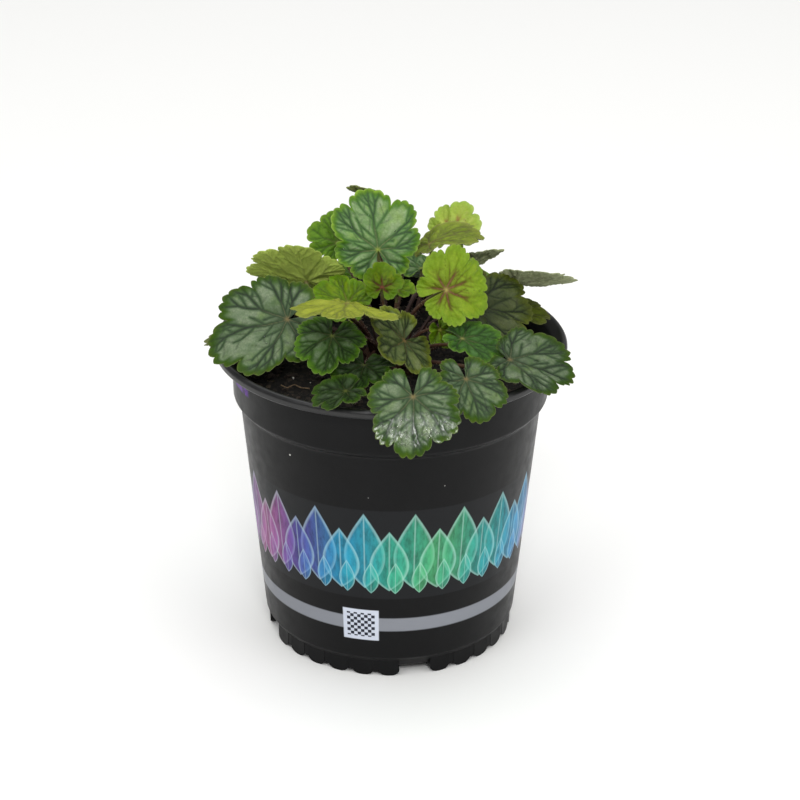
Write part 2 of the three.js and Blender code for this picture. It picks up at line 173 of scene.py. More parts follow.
PETIOLE_SIDES = 12
PETIOLE_RINGS = 26
PETIOLE_DEPTH = 7  # how far it runs on into the crown
PETIOLE_END = (0.8, 0.55)  # its end, before the hub and below it
USUAL_RISE = 0.38  # how far it goes straight up out of the crown, as a share of its length
APPROACH = 0.3  # and straight up to the blade
PETIOLE_RADIUS = 1.02
PETIOLE_TAPER = 0.18
SHEATH = 0.9  # how much thicker it is at its foot
SHEATH_MIDDLE = 0.04  # as a share of the petiole
SHEATH_LENGTH = 0.1
HAIRS = 40  # and one more for each millimetre of the blade's width
HAIR_WIDTH = 0.06
HAIR_LENGTH = (0.7, 1.5)
HAIR_SCATTER = 0.3  # how unevenly the hairs stand
HAIR_LEAN = 0.25  # and lean

FINE_DROPS = 230  # on a wet blade
FINE_DROP_RADIUS = (0.14, 0.4)
DROP_SIDES = 9
DROP_HEIGHT = 0.6  # of a drop of radius 1, which goes as far as DROP_SUNK into the blade
DROP_SUNK = 0.2

# What a leaf has unless its row says otherwise. long, base: the blade's stretch before and behind the
# hub. span: half the angle that it takes up. fold: how far its halves slope up. droop: how far the
# midrib bends down by the tip. rise, arrive: the petiole's bends over the crown and below the blade.
# pucker: swelling between the veins. dark: width of its dark centre. star: 1 where only the hub's veins have
# a colour. wet: how wet. Then how light the leaf is drawn: its own tone, with painted shade on the leaves
# that lie deep under the others. drops: water drops, each by its share of the way out, its turn and its
# radius.
USUAL_LEAF = dict(long=1, base=1, span=163, fold=6, droop=10, rise=None, arrive=0.5,
                  pucker=1, dark=1, star=0, wet=0, shade=1, drops=())

# The leaves, as in the solid model. look: the finish. hub: where the petiole meets the blade. aim:
# heading and rise of the midrib, and the blade's roll about it. root: radius and heading on the crown.
LEAVES = [
    # the front, from the left round to the right
    dict(look="silver", hub=(-45.5, -24.8, 162.8), aim=(-72, -15, -36), width=49, long=1.2, droop=13,
         root=(11, 290), shade=0.7, drops=[(0.4, 0.12, 0.9), (0.47, 0.2, 0.5)]),
    dict(look="shaded", hub=(-25.5, -34, 159), aim=(-16, -23, -5), width=33, droop=14, root=(7, 325),
         shade=0.95),
    dict(look="shaded", hub=(-18.7, -74, 150.8), aim=(-71, -12, -8), width=25, root=(11, 336), rise=6,
         arrive=0.1, shade=0.43),
    dict(look="shaded", hub=(-11.5, -37.8, 146.7), aim=(-10, -12, 0), width=30, long=0.9,
         root=(11, 312), rise=4, shade=0.62),
    dict(look="silver", hub=(9.8, -79, 150.8), aim=(5, -50, 2), width=41, droop=18, root=(10, 0),
         rise=3.5, arrive=0, wet=1, shade=0.72),
    dict(look="silver", hub=(32.3, -65.6, 153), aim=(28, -41, 0), width=33, droop=12, root=(10.5, 24),
         rise=3, arrive=0, shade=0.66),
    dict(look="dusky", hub=(5.9, -27, 153.9), aim=(-28, 2, -46), width=37, long=0.95, base=1.25,
         droop=-10, root=(7, 10), shade=0.92, dark=1.4),
    dict(look="bluish", hub=(31.5, -28, 155.3), aim=(76, -11, 11), width=27, long=1.2, root=(11, 58),
         pucker=1.8, shade=0.73),
    dict(look="silver", hub=(52, -41, 151), aim=(80, -11, 15), width=42, long=1.1, base=0.6, fold=12,
         droop=14, root=(11, 40), rise=6, shade=0.54),
    # the middle
    dict(look="lime", hub=(-18.9, -39, 176.5), aim=(0, 17, -5), width=50, fold=-10, root=(7, 292),
         arrive=0.8, shade=0.8,
         drops=[(0.3, 0.5, 0.6), (0.45, 0.62, 0.5), (0.5, -0.55, 0.45), (0.6, 0.75, 0.4)]),
    dict(look="young", hub=(-19.4, -3, 161.5), aim=(-111, 17, -25), width=29, root=(7, 262), pucker=2,
         shade=0.81, drops=[(0.5, 0.3, 0.5), (0.55, -0.3, 0.6), (0.7, 0.1, 0.4)]),
    dict(look="red_young", hub=(-4, -4, 169.7), aim=(170, 49, 12), width=19, root=(3, 0), shade=0.56,
         star=1),
    dict(look="red_veined", hub=(24.3, -18, 174.5), aim=(112, 16, 61), width=37, span=174, fold=2,
         droop=50, root=(3, 70), shade=0.73, star=1),
    dict(look="dusky", hub=(36, 2, 158.6), aim=(97, -7, 29), width=42, long=1.15, droop=16,
         root=(11, 94), shade=0.47, dark=2.1),
    dict(look="young", hub=(22, -6, 150.2), aim=(56, -54, 31), width=14, root=(7, 95), shade=0.9),
    dict(look="young", hub=(3, 6, 164.5), aim=(85, 5, 10), width=13, root=(3, 140), shade=0.9),
    # the tall ones behind
    dict(look="bright_silver", hub=(-6.1, 15, 180.3), aim=(-162, 58, -14), width=42, long=1.1, droop=12,
         root=(3, 220), shade=0.97,
         drops=[(0.45, -0.3, 0.7), (0.6, 0.25, 0.5), (0.55, 0.05, 0.4), (0.8, 0.5, 0.5)]),
    dict(look="pale", hub=(28.4, 50, 174.5), aim=(145, 49, 9), width=26.5, root=(7, 160), shade=1.14,
         star=1),
    dict(look="olive", hub=(17.5, 26, 178.9), aim=(94, 31, 0), width=26, long=1.6, droop=35,
         root=(7, 125), shade=1.05),
    dict(look="backlit", hub=(-38.5, 21.5, 162.7), aim=(-67, 36, 39), width=48, root=(11, 250),
         shade=0.94, pucker=0.5),
    dict(look="green", hub=(-25, 38, 174.5), aim=(-157, 40, -23), width=27, root=(7, 222), shade=0.9),
    dict(look="dull", hub=(57.2, 23.5, 161.3), aim=(88, -4, -38), width=28, long=1.63, fold=10,
         droop=-8, root=(11, 112), shade=1.11),
    dict(look="dull", hub=(38, 38, 165.6), aim=(75, 32, -32), width=24, root=(11, 132), shade=1.4),
    dict(look="olive", hub=(57, 18, 149), aim=(95, -8, 0), width=26, root=(11, 76), rise=7, shade=0.45),
    dict(look="olive", hub=(-7.6, 44, 194.3), aim=(-80, 29, 18), width=24, root=(7, 190), shade=1.0),
    # the far side, hanging over the rim
    dict(look="silver", hub=(5, 66, 150.5), aim=(178, -4, 0), width=42, droop=30, root=(11, 180),
         rise=7, shade=0.78),
    dict(look="dusky", hub=(-32, 57, 150.5), aim=(-150, -6, 0), width=38, droop=26, root=(11, 214),
         rise=7, shade=0.9),
    dict(look="green", hub=(40, 54, 149.5), aim=(145, -5, 0), width=36, droop=26, root=(11, 147),
         rise=7, shade=0.9),
    dict(look="dull", hub=(-53.5, -2, 146.5), aim=(-78, -2, 0), width=34, long=1.4, droop=5,
         root=(11, 270), rise=7, shade=0.8),
    dict(look="silver", hub=(-54, 37, 148.5), aim=(-118, -3, 0), width=37, droop=24, root=(11, 232),
         rise=7, shade=0.83),
    dict(look="green", hub=(-16, 38, 158), aim=(-170, 4, 0), width=34, droop=20, root=(11, 197)),
    dict(look="bright_silver", hub=(14, 47, 158.5), aim=(168, 6, 0), width=26, droop=14, root=(11, 163)),
]

# ---- camera and light ----

FRAME_PIXELS = 800
FOCAL_PIXELS = 2400.8
SENSOR = 36
CAMERA_DISTANCE = 1101.5
CAMERA_ELEVATION = 24.98
CAMERA_ROLL = 0.35
CAMERA_TARGET = (4.295, 0, 112.44)

# soft boxes in metres and watts: place, the point that it is aimed at, side and power
LAMPS = {
    "key": ((-0.7, -0.9, 1.3), (0, 0, 0.12), 0.7, 5),
    "front": ((0.1, -1.25, 1.05), (0, 0, 0.12), 0.4, 8),
    "fill": ((1.1, -0.7, 0.7), (0, 0, 0.12), 0.9, 4),
    "top": ((0, 0.6, 2.6), (0, 0.6, 0), 3.0, 39),
}
FLOOR_HALF_SIDE = 4  # metres
SURROUND_DIM = 0.2  # strength of the white surround at and below the horizon
SURROUND_BRIGHT = 0.62  # and overhead


def set_camera():
    """Looks along +Y and down, turned a little about its own axis."""
    down = math.radians(CAMERA_ELEVATION)
    ahead = Vector((0, math.cos(down), -math.sin(down)))
    level = Vector((1, 0, 0))
    upright = Vector((0, math.sin(down), math.cos(down)))
    roll = math.radians(CAMERA_ROLL)
    right = level * math.cos(roll) + upright * math.sin(roll)
    up = upright * math.cos(roll) - level * math.sin(roll)
    lens = bpy.data.cameras.new("camera")
    lens.sensor_width = SENSOR
    lens.lens = FOCAL_PIXELS * SENSOR / FRAME_PIXELS
    lens.clip_end = 20
    camera = bpy.data.objects.new("camera", lens)
    camera.matrix_world = Matrix((right, up, -ahead)).transposed().to_4x4()
    camera.location = (Vector(CAMERA_TARGET) - ahead * CAMERA_DISTANCE) * MM
    bpy.context.scene.collection.objects.link(camera)
    bpy.context.scene.camera = camera


def set_lamps():
    """Square soft boxes at the left, in front, at the right and overhead."""
    for name, (place, aim, side, power) in LAMPS.items():
        lamp = bpy.data.lights.new(name, "AREA")
        lamp.size = side
        lamp.energy = power
        light = bpy.data.objects.new(name, lamp)
        light.location = place
        light.rotation_euler = (Vector(aim) - Vector(place)).to_track_quat("-Z", "Y").to_euler()
        bpy.context.scene.collection.objects.link(light)


# ---- nodes ----


def linear(code):
    """An sRGB hex colour as the linear red, green, blue and alpha that a socket takes."""
    shares = [int(code[k:k + 2], 16) / 255 for k in (1, 3, 5)]
    return (*[c / 12.92 if c <= 0.04045 else ((c + 0.055) / 1.055) ** 2.4 for c in shares], 1.0)


def live(node):
    """A node's first output that is in use, given its settings."""
    return next(socket for socket in node.outputs if socket.enabled)


def add(tree, kind, inputs=None, stops=None, to=None, **settings):
    """Adds a node with its settings and links.

    An input takes a value, a hex colour, an output of another node, or that node itself for its live
    output. stops: places and colours of its ramp. to: the input that it feeds in turn.
    """
    made = tree.nodes.new("ShaderNode" + kind)
    for name, value in settings.items():
        setattr(made, name, value)
    if stops:
        ramp = made.color_ramp
        while len(ramp.elements) < len(stops):
            ramp.elements.new(1)
        for element, (place, code) in zip(ramp.elements, stops):
            element.position = place
            element.color = linear(code)
    for name, value in (inputs or {}).items():
        if isinstance(value, bpy.types.Node):
            value = live(value)
        if isinstance(value, bpy.types.NodeSocket):
            tree.links.new(value, made.inputs[name])
        else:
            made.inputs[name].default_value = linear(value) if isinstance(value, str) else value
    if to is not None:
        tree.links.new(live(made), to)
    return made


# Numbered inputs: a MapRange takes its value, the two levels that it comes from and the two that it goes
# to as 0 to 4, and a Mix takes its share as 0 and its two colours as 6 and 7.


def finish(name, **surface):
    """A new material with one Principled surface, its node tree and the surface's inputs.

    surface: the settings of the surface's own sockets.
    """
    material = bpy.data.materials.new(name)
    material.use_nodes = True
    tree = material.node_tree
    tree.nodes.clear()
    inputs = {key.replace("_", " ").title().replace("Ior", "IOR"): value for key, value in surface.items()}
    shader = add(tree, "BsdfPrincipled", inputs)
    add(tree, "OutputMaterial", {"Surface": shader})
    return material, tree, shader.inputs


def object_millimetres(tree):
    """The point's place in the part's frame, in millimetres."""
    place = add(tree, "TexCoord").outputs["Object"]
    return add(tree, "VectorMath", {0: place, 3: 1 / MM}, operation="SCALE")


def cloud(tree, place, size, detail, levels, shares=(0.0, 1.0)):
    """Noise of a size in millimetres, stretched from two of its own levels to two shares."""
    fog = add(tree, "TexNoise", {"Vector": place, "Scale": 1 / size, "Detail": detail, "Roughness": 0.6})
    return add(tree, "MapRange", {0: fog, 1: levels[0], 2: levels[1], 3: shares[0], 4: shares[1]})


def layered(tree, colour, layers):
    """A colour with others laid over it in turn. A layer is its mask, a factor of that and its colour."""
    for mask, factor, over in layers:
        share = add(tree, "Math", {0: mask, 1: factor}, operation="MULTIPLY")
        colour = add(tree, "Mix", {0: share, 6: colour, 7: over}, data_type="RGBA")
    return colour


# ---- finishes of the plant ----

# Leaf tissue. panel: silvered tissue between the veins. glow: its warmer patches. body: plain tissue.
# vein: the soft dark band along the veins. rim, tooth: the band along the margin and its outermost part.
# rib: the fine line on the main veins near the hub. under: the lower face. silver: how much panel shows.
LOOKS = {
    "silver": dict(panel="#8C9C7C", glow="#738E4A", body="#4C6940", vein="#2E372B", rim="#375807",
                   tooth="#4C650D", rib="#7E8A58", hub="#8A7A50", under="#7C8A66", silver=0.95),
    "bright_silver": dict(panel="#8EA276", glow="#82A249", body="#507A3A", vein="#33452F", rim="#3F6A09",
                          tooth="#7FA230", rib="#8A9A58", hub="#8A9A3C", under="#7C8A66", silver=0.95),
    # shaded: painted shade, darker tissue for the low leaves that lie under the others
    "shaded": dict(panel="#6E8062", glow="#4C702C", body="#36561C", vein="#1E2B17", rim="#40670D",
                   tooth="#547B17", rib="#6E7A44", hub="#77823C", under="#6A7A50", silver=0.8),
    "dusky": dict(panel="#767F53", glow="#667034", body="#46582A", vein="#1C2017", rim="#5A661C",
                  tooth="#6F7A23", rib="#77703E", hub="#6E5A34", under="#79805A", silver=0.85),
    "bluish": dict(panel="#527A41", glow="#55782B", body="#3A641D", vein="#22361A", rim="#4A7519",
                   tooth="#5B8720", rib="#77824A", hub="#8A8A4A", under="#70805A", silver=0.8),
    "green": dict(panel="#6E902B", glow="#7C9C27", body="#568016", vein="#3E5A1A", rim="#5E8616",
                  tooth="#769824", rib="#6E7430", hub="#8E9A3C", under="#7F9450", silver=0.5),
    "olive": dict(panel="#7C8A2D", glow="#808C25", body="#667A1E", vein="#51502A", rim="#6C7A25",
                  tooth="#7C8437", rib="#7A6A40", hub="#8E8A44", under="#7E8650", silver=0.6),
    "young": dict(panel="#869A18", glow="#94A214", body="#62860C", vein="#46581A", rim="#5F8A14",
                  tooth="#7C9C13", rib="#83762C", hub="#A0A048", under="#8A9A38", silver=0.6),
    "red_young": dict(panel="#889806", glow="#8E9C07", body="#668807", vein="#45190F", rim="#5F8A07",
                      tooth="#7A9A10", rib="#7A3A28", hub="#8A4A30", under="#8A9A48", silver=0.6),
    "lime": dict(panel="#A4AC3D", glow="#ACB238", body="#8E9A29", vein="#6E7430", rim="#88922E",
                 tooth="#96A038", rib="#84683A", hub="#A08A50", under="#98A050", silver=0.7),
    "pale": dict(panel="#A2AE58", glow="#AAB24E", body="#8CA03C", vein="#7E4A34", rim="#86A038",
                 tooth="#94A850", rib="#A0684C", hub="#B0A05C", under="#98A058", silver=0.7),
    "red_veined": dict(panel="#98B235", glow="#A2B230", body="#7F9E1F", vein="#572619", rim="#7C9E24",
                       tooth="#8CAA2C", rib="#A8775C", hub="#B8B05C", under="#98A659", silver=0.6),
    # backlit: its lower face is painted pale and bright, standing in for light shining through the blade from
    # behind
    "backlit": dict(panel="#869845", glow="#8E9C38", body="#7C902D", vein="#74843A", rim="#7C902D",
                    tooth="#90A044", rib="#7E7A40", hub="#94944C", under="#B0C45C", silver=0.6),
    "dull": dict(panel="#6E784E", glow="#707A3E", body="#586437", vein="#484C38", rim="#5C6634",
                 tooth="#707845", rib="#6E6A50", hub="#7C7A50", under="#8A906E", silver=0.7),
}
MARGIN_LINE = "#A3A874"
# painted glint: the pale colour laid in grains over the wet film, in place of light glinting on it
PAINTED_GLINT = "#C4CEBC"
MASKS = ("vein", "rib", "panel", "rim", "tooth", "hub", "line", "under", "shade", "wet")

# sizes of the patterns in the finishes, in millimetres
FINEST_MESH = 1.5  # between the finest veins
MESH_BEND = 1.43
SILVER_PATCH = 6
GLOW_PATCH = 9
TOOTH_PATCH = 7
# grain of the painted glints on the wet film
PAINTED_GLINT_GRAIN = 0.7
SPECKLE = 1.8
FINE_SPECKLE = 0.6
GLOSS_PATCH = 2.2
CUTICLE_CELL = 0.4545  # coarser than real cells, so that it shows
FILM_RIPPLE = 0.5
STALK_STREAK = 2
PEAT_CRUMB = 1.8
PEAT_FIBRE = 0.625
BARK_GRAIN = 1.667
PERLITE_HOLE = 0.4


def leaf_finish(name, look):
    """Leaf tissue: waxy and a little translucent. The cuticle's soft gloss breaks up on fine cells."""
    material, tree, surface = finish(
        name, ior=1.42, subsurface_weight=0.08, subsurface_scale=0.001, subsurface_radius=(0.6, 1.0, 0.25),
        specular_ior_level=0.17, coat_ior=1.55, coat_roughness=0.12,
    )
    place = object_millimetres(tree)
    part = {key: add(tree, "Attribute", attribute_name=key).outputs["Fac"] for key in MASKS}

    # the finest net of veins
    warp = add(tree, "TexNoise", {"Vector": place, "Scale": 1 / MESH_BEND, "Detail": 1.0})
    bent = add(tree, "VectorMath", {0: warp.outputs["Color"], 1: (0.9, 0.9, 0.9), 2: place},
               operation="MULTIPLY_ADD")
    meshes = add(tree, "TexVoronoi", {"Vector": bent, "Scale": 1 / FINEST_MESH}, feature="DISTANCE_TO_EDGE")
    net = add(tree, "MapRange", {0: meshes, 1: 0.0, 2: 0.2, 3: 1.0, 4: 0.0})
    # silvering comes and goes in patches, and thins along the net
    patches = cloud(tree, place, SILVER_PATCH, 3.0, (0.34, 0.58), (0.4, 1.0))
    frosted = add(tree, "Math", {0: part["panel"], 1: patches}, operation="MULTIPLY")
    thinned = add(tree, "MapRange", {0: net, 3: look["silver"], 4: look["silver"] * 0.72})
    glows = cloud(tree, place, GLOW_PATCH, 2.0, (0.5, 0.68), (0.0, 0.75))
    silvered = layered(tree, look["panel"], [(glows, 1.0, look["glow"])])
    # the lower face is paler, with the veins standing out a little darker
    below = layered(tree, look["under"], [(part["vein"], 0.28, look["vein"])])
    # painted glints: the wet film is whitened in grains, standing in for light glinting off droplets too fine
    # to tell apart
    glint_area = add(tree, "Math", {0: part["wet"], 1: part["panel"]}, operation="MULTIPLY")
    colour = layered(tree, look["body"], [
        (frosted, thinned, silvered),
        (part["rim"], 1.0, look["rim"]),
        (part["tooth"], cloud(tree, place, TOOTH_PATCH, 1.0, (0.4, 0.6), (0.2, 1.0)), look["tooth"]),
        (part["vein"], 1.0, look["vein"]),
        (part["rib"], 0.6, look["rib"]),
        (part["hub"], 1.0, look["hub"]),
        (part["line"], 0.25, MARGIN_LINE),
        (part["under"], 1.0, below),
        (glint_area, cloud(tree, place, PAINTED_GLINT_GRAIN, 2.0, (0.48, 0.62), (0.0, 0.42)), PAINTED_GLINT),
    ])
    speckle = add(tree, "Math", {0: cloud(tree, place, SPECKLE, 4.0, (0.3, 0.7), (0.86, 1.1)),
                                 1: cloud(tree, place, FINE_SPECKLE, 2.0, (0.3, 0.7), (0.95, 1.05))},
                  operation="MULTIPLY")
    # the leaf's own tone, with painted shade darkening the leaves that lie deep under the others
    toned = add(tree, "Math", {0: speckle, 1: part["shade"]}, operation="MULTIPLY")
    add(tree, "HueSaturation", {"Color": colour, "Value": toned}, to=surface["Base Color"])

    gloss = cloud(tree, place, GLOSS_PATCH, 3.0, (0.3, 0.7), (0.42, 0.58))
    duller = add(tree, "MapRange", {0: part["under"], 2: 1.0, 3: 0.0, 4: 0.2})
    add(tree, "Math", {0: gloss, 1: duller}, operation="ADD", to=surface["Roughness"])
    cells = add(tree, "TexNoise", {"Vector": place, "Scale": 1 / CUTICLE_CELL, "Detail": 2.0})
    grain = add(tree, "Math", {0: net, 1: -0.7, 2: cells}, operation="MULTIPLY_ADD")
    add(tree, "Bump", {"Height": grain, "Strength": 0.4, "Distance": 0.00018}, to=surface["Normal"])
    # the water film has its own soft ripples
    tree.links.new(part["wet"], surface["Coat Weight"])
    film = add(tree, "TexNoise", {"Vector": place, "Scale": 1 / FILM_RIPPLE, "Detail": 2.0})
    add(tree, "Bump", {"Height": film, "Strength": 0.7, "Distance": 0.00008}, to=surface["Coat Normal"])
    return material


def petiole_finish():
    """Leaf stalk: a juicy stem, red-brown, olive where it meets the blade, and near black towards the crown,
    where the darkness is painted shade.
    """
    material, tree, surface = finish(
        "leaf_stalk", ior=1.42, roughness=0.5, subsurface_weight=0.12, subsurface_scale=0.001
    )
    place = object_millimetres(tree)
    height = add(tree, "Attribute", attribute_name="along").outputs["Fac"]
    streaks = add(tree, "TexNoise", {"Vector": place, "Scale": 1 / STALK_STREAK, "Detail": 3.0})
    mixed = add(tree, "Math", {0: streaks, 1: 0.5, 2: height}, operation="MULTIPLY_ADD")
    # near black at the foot is painted shade under the leaves; then red-brown, and olive up at the blade
    add(tree, "ValToRGB", {0: mixed}, to=surface["Base Color"],
        stops=[(0.2, "#241611"), (0.6, "#40281F"), (0.95, "#5E4530"), (1.0, "#6E6A3C")])
    return material


def hair_finish():
    """Plant hair: short, pale and dull."""
    return finish("stalk_hair", base_color="#B8A794", roughness=0.6, ior=1.5)[0]


def water_finish():
    """Clear water: a smooth drop that glints and darkens what lies under it."""
    return finish("water_drop", base_color="#FFFFFF", roughness=0.03, ior=1.333, transmission_weight=1.0)[0]


def soil_finish():
    """Damp peat and composted bark: near black, matt, with brown crumbs."""
    material, tree, surface = finish("peat_mix", ior=1.4, roughness=0.9, specular_ior_level=0.3)
    place = object_millimetres(tree)
    crumbs = add(tree, "TexVoronoi", {"Vector": place, "Scale": 1 / PEAT_CRUMB})
    add(tree, "ValToRGB", {0: crumbs.outputs["Color"]}, to=surface["Base Color"],
        stops=[(0.0, "#191918"), (0.6, "#272523"), (0.88, "#3A342D"), (1.0, "#665A4C")])
    fine = add(tree, "TexNoise", {"Vector": place, "Scale": 1 / PEAT_FIBRE, "Detail": 5.0})
    add(tree, "Bump", {"Height": fine, "Strength": 0.9, "Distance": 0.0006}, to=surface["Normal"])
    return material


def bark_finish(name, dark, pale):
    """Bark: fibrous and matt, streaked along the grain."""
    material, tree, surface = finish(name, ior=1.45, roughness=0.85, specular_ior_level=0.3)
    place = object_millimetres(tree)
    grain = add(tree, "TexNoise", {"Vector": place, "Scale": 1 / BARK_GRAIN, "Detail": 6.0,
                                   "Roughness": 0.65})
    add(tree, "ValToRGB", {0: grain}, stops=[(0.35, dark), (0.7, pale)], to=surface["Base Color"])
    add(tree, "Bump", {"Height": grain, "Strength": 0.7, "Distance": 0.0005}, to=surface["Normal"])
    return material


def perlite_finish():
    """Perlite: expanded white glass, chalky and full of fine holes."""
    material, tree, surface = finish("perlite", base_color="#D9D6CE", roughness=0.9, ior=1.5)
    place = object_millimetres(tree)
    holes = add(tree, "TexNoise", {"Vector": place, "Scale": 1 / PERLITE_HOLE, "Detail": 3.0})
    add(tree, "Bump", {"Height": holes, "Strength": 0.8, "Distance": 0.0003}, to=surface["Normal"])
    return material


# ---- the pot's plastic and its print ----

SKIN = 0.7  # how deep into the wall's outer face the print's colour is carried
PRINT_BOTTOM = 42.8
PRINT_TOP = 89.4
STRIPE = (25.2, 32.2)
SMEAR_TURN = (0.5 - 75 / 360, 0.5 - 61 / 360)  # as a share of a turn from the back
SMEAR_HEIGHT = (129.5, 133)
# turn, height, radius and colour
SPECKS = [(-40.1, 109.8, 0.35, "#B8B8B4"), (63.6, 128.8, 0.6, "#050505"), (21, 100.5, 0.25, "#8A8A88"),
          (-8, 96, 0.2, "#7A7A78")]
LABEL_TURN = -12.2
LABEL_MIDDLE = 28.1
LABEL_HALF = 8.2
LABEL_RADIUS = 60.4
CHECKS_HALF = 6.4
CHECK = 1.6

# rows of upright leaf shapes: how many round the pot, their phase, half height, half width, middle height
FRIEZE = [
    dict(count=18, phase=0.0, half=20, wide=0.42, middle=68),
    dict(count=18, phase=0.5, half=16, wide=0.40, middle=63),
    dict(count=36, phase=0.25, half=8.5, wide=0.34, middle=54),
]
FRIEZE_TAPER = 0.35  # wider below the middle, and drawn out to a point above
# ink colours once round the pot, starting at the back
INKS = [(0.0, "#3E9A78"), (0.16, "#3C8FC4"), (0.27, "#7A4FA6"), (0.33, "#B25F9E"), (0.39, "#5A56B0"),
        (0.44, "#2F9FCB"), (0.5, "#3DB39A"), (0.55, "#56B67A"), (0.62, "#35A9A8"), (0.68, "#3B9AD0"),
        (0.75, "#A77BB8"), (0.85, "#5A56B0"), (1.0, "#3E9A78")]
INK_DRIFT = 0.012  # how far each row's colours are turned from the next row's
INK_COVER = (0.302, 0.662)  # of thin strokes and of full ones
LINE_COVER = 0.32
INK_STROKE = 2.222  # width of the strokes that the ink is broken into, in millimetres
# the wall's haze, its worn patches and the orange peel of the mould, in millimetres
HAZE = 14
WEAR = 6
PEEL = 0.8333


def band(tree, value, low, high, soft=0.3):
    """1 where a value lies between two limits, with soft edges."""
    over = add(tree, "MapRange", {0: value, 1: low - soft, 2: low + soft})
    under = add(tree, "MapRange", {0: value, 1: high - soft, 2: high + soft, 3: 1.0, 4: 0.0})
    return add(tree, "Math", {0: over, 1: under}, operation="MULTIPLY")


def patch(tree, across, height, sides, ends, soft, end_soft):
    """1 inside four limits: two across, and two in height."""
    return add(tree, "Math", {0: band(tree, across, *sides, soft), 1: band(tree, height, *ends, end_soft)},
               operation="MULTIPLY")


def frieze_row(tree, turn, height, row):
    """A row of upright leaf shapes round the pot: their cover, and their midribs and outlines."""
    level = add(tree, "MapRange", {0: height, 1: row["middle"], 2: row["middle"] + row["half"]}, clamp=False)
    across = add(tree, "Math", {0: turn, 1: row["count"], 2: row["phase"]}, operation="MULTIPLY_ADD")
    cell = add(tree, "Math", {0: across}, operation="FRACT")
    side = add(tree, "Math", {0: cell, 1: 0.5}, operation="SUBTRACT")
    off = add(tree, "Math", {0: side}, operation="ABSOLUTE")
    square = add(tree, "Math", {0: level, 1: level}, operation="MULTIPLY")
    tapered = add(tree, "Math", {0: level, 1: -FRIEZE_TAPER * row["wide"], 2: row["wide"]},
                  operation="MULTIPLY_ADD")
    rounding = add(tree, "Math", {0: 1.0, 1: square}, operation="SUBTRACT", use_clamp=True)
    width = add(tree, "Math", {0: tapered, 1: rounding}, operation="MULTIPLY")
    inside = add(tree, "Math", {0: width, 1: off}, operation="SUBTRACT")
    cover = add(tree, "MapRange", {0: inside, 1: 0.002, 2: 0.03})
    outline = add(tree, "MapRange", {0: inside, 1: 0.03, 2: 0.09, 3: 1.0, 4: 0.0})
    rib = add(tree, "MapRange", {0: off, 1: 0.0, 2: 0.022, 3: 1.0, 4: 0.0})
    lines = add(tree, "Math", {0: rib, 1: outline}, operation="MAXIMUM")
    return cover, add(tree, "Math", {0: lines, 1: cover}, operation="MULTIPLY")


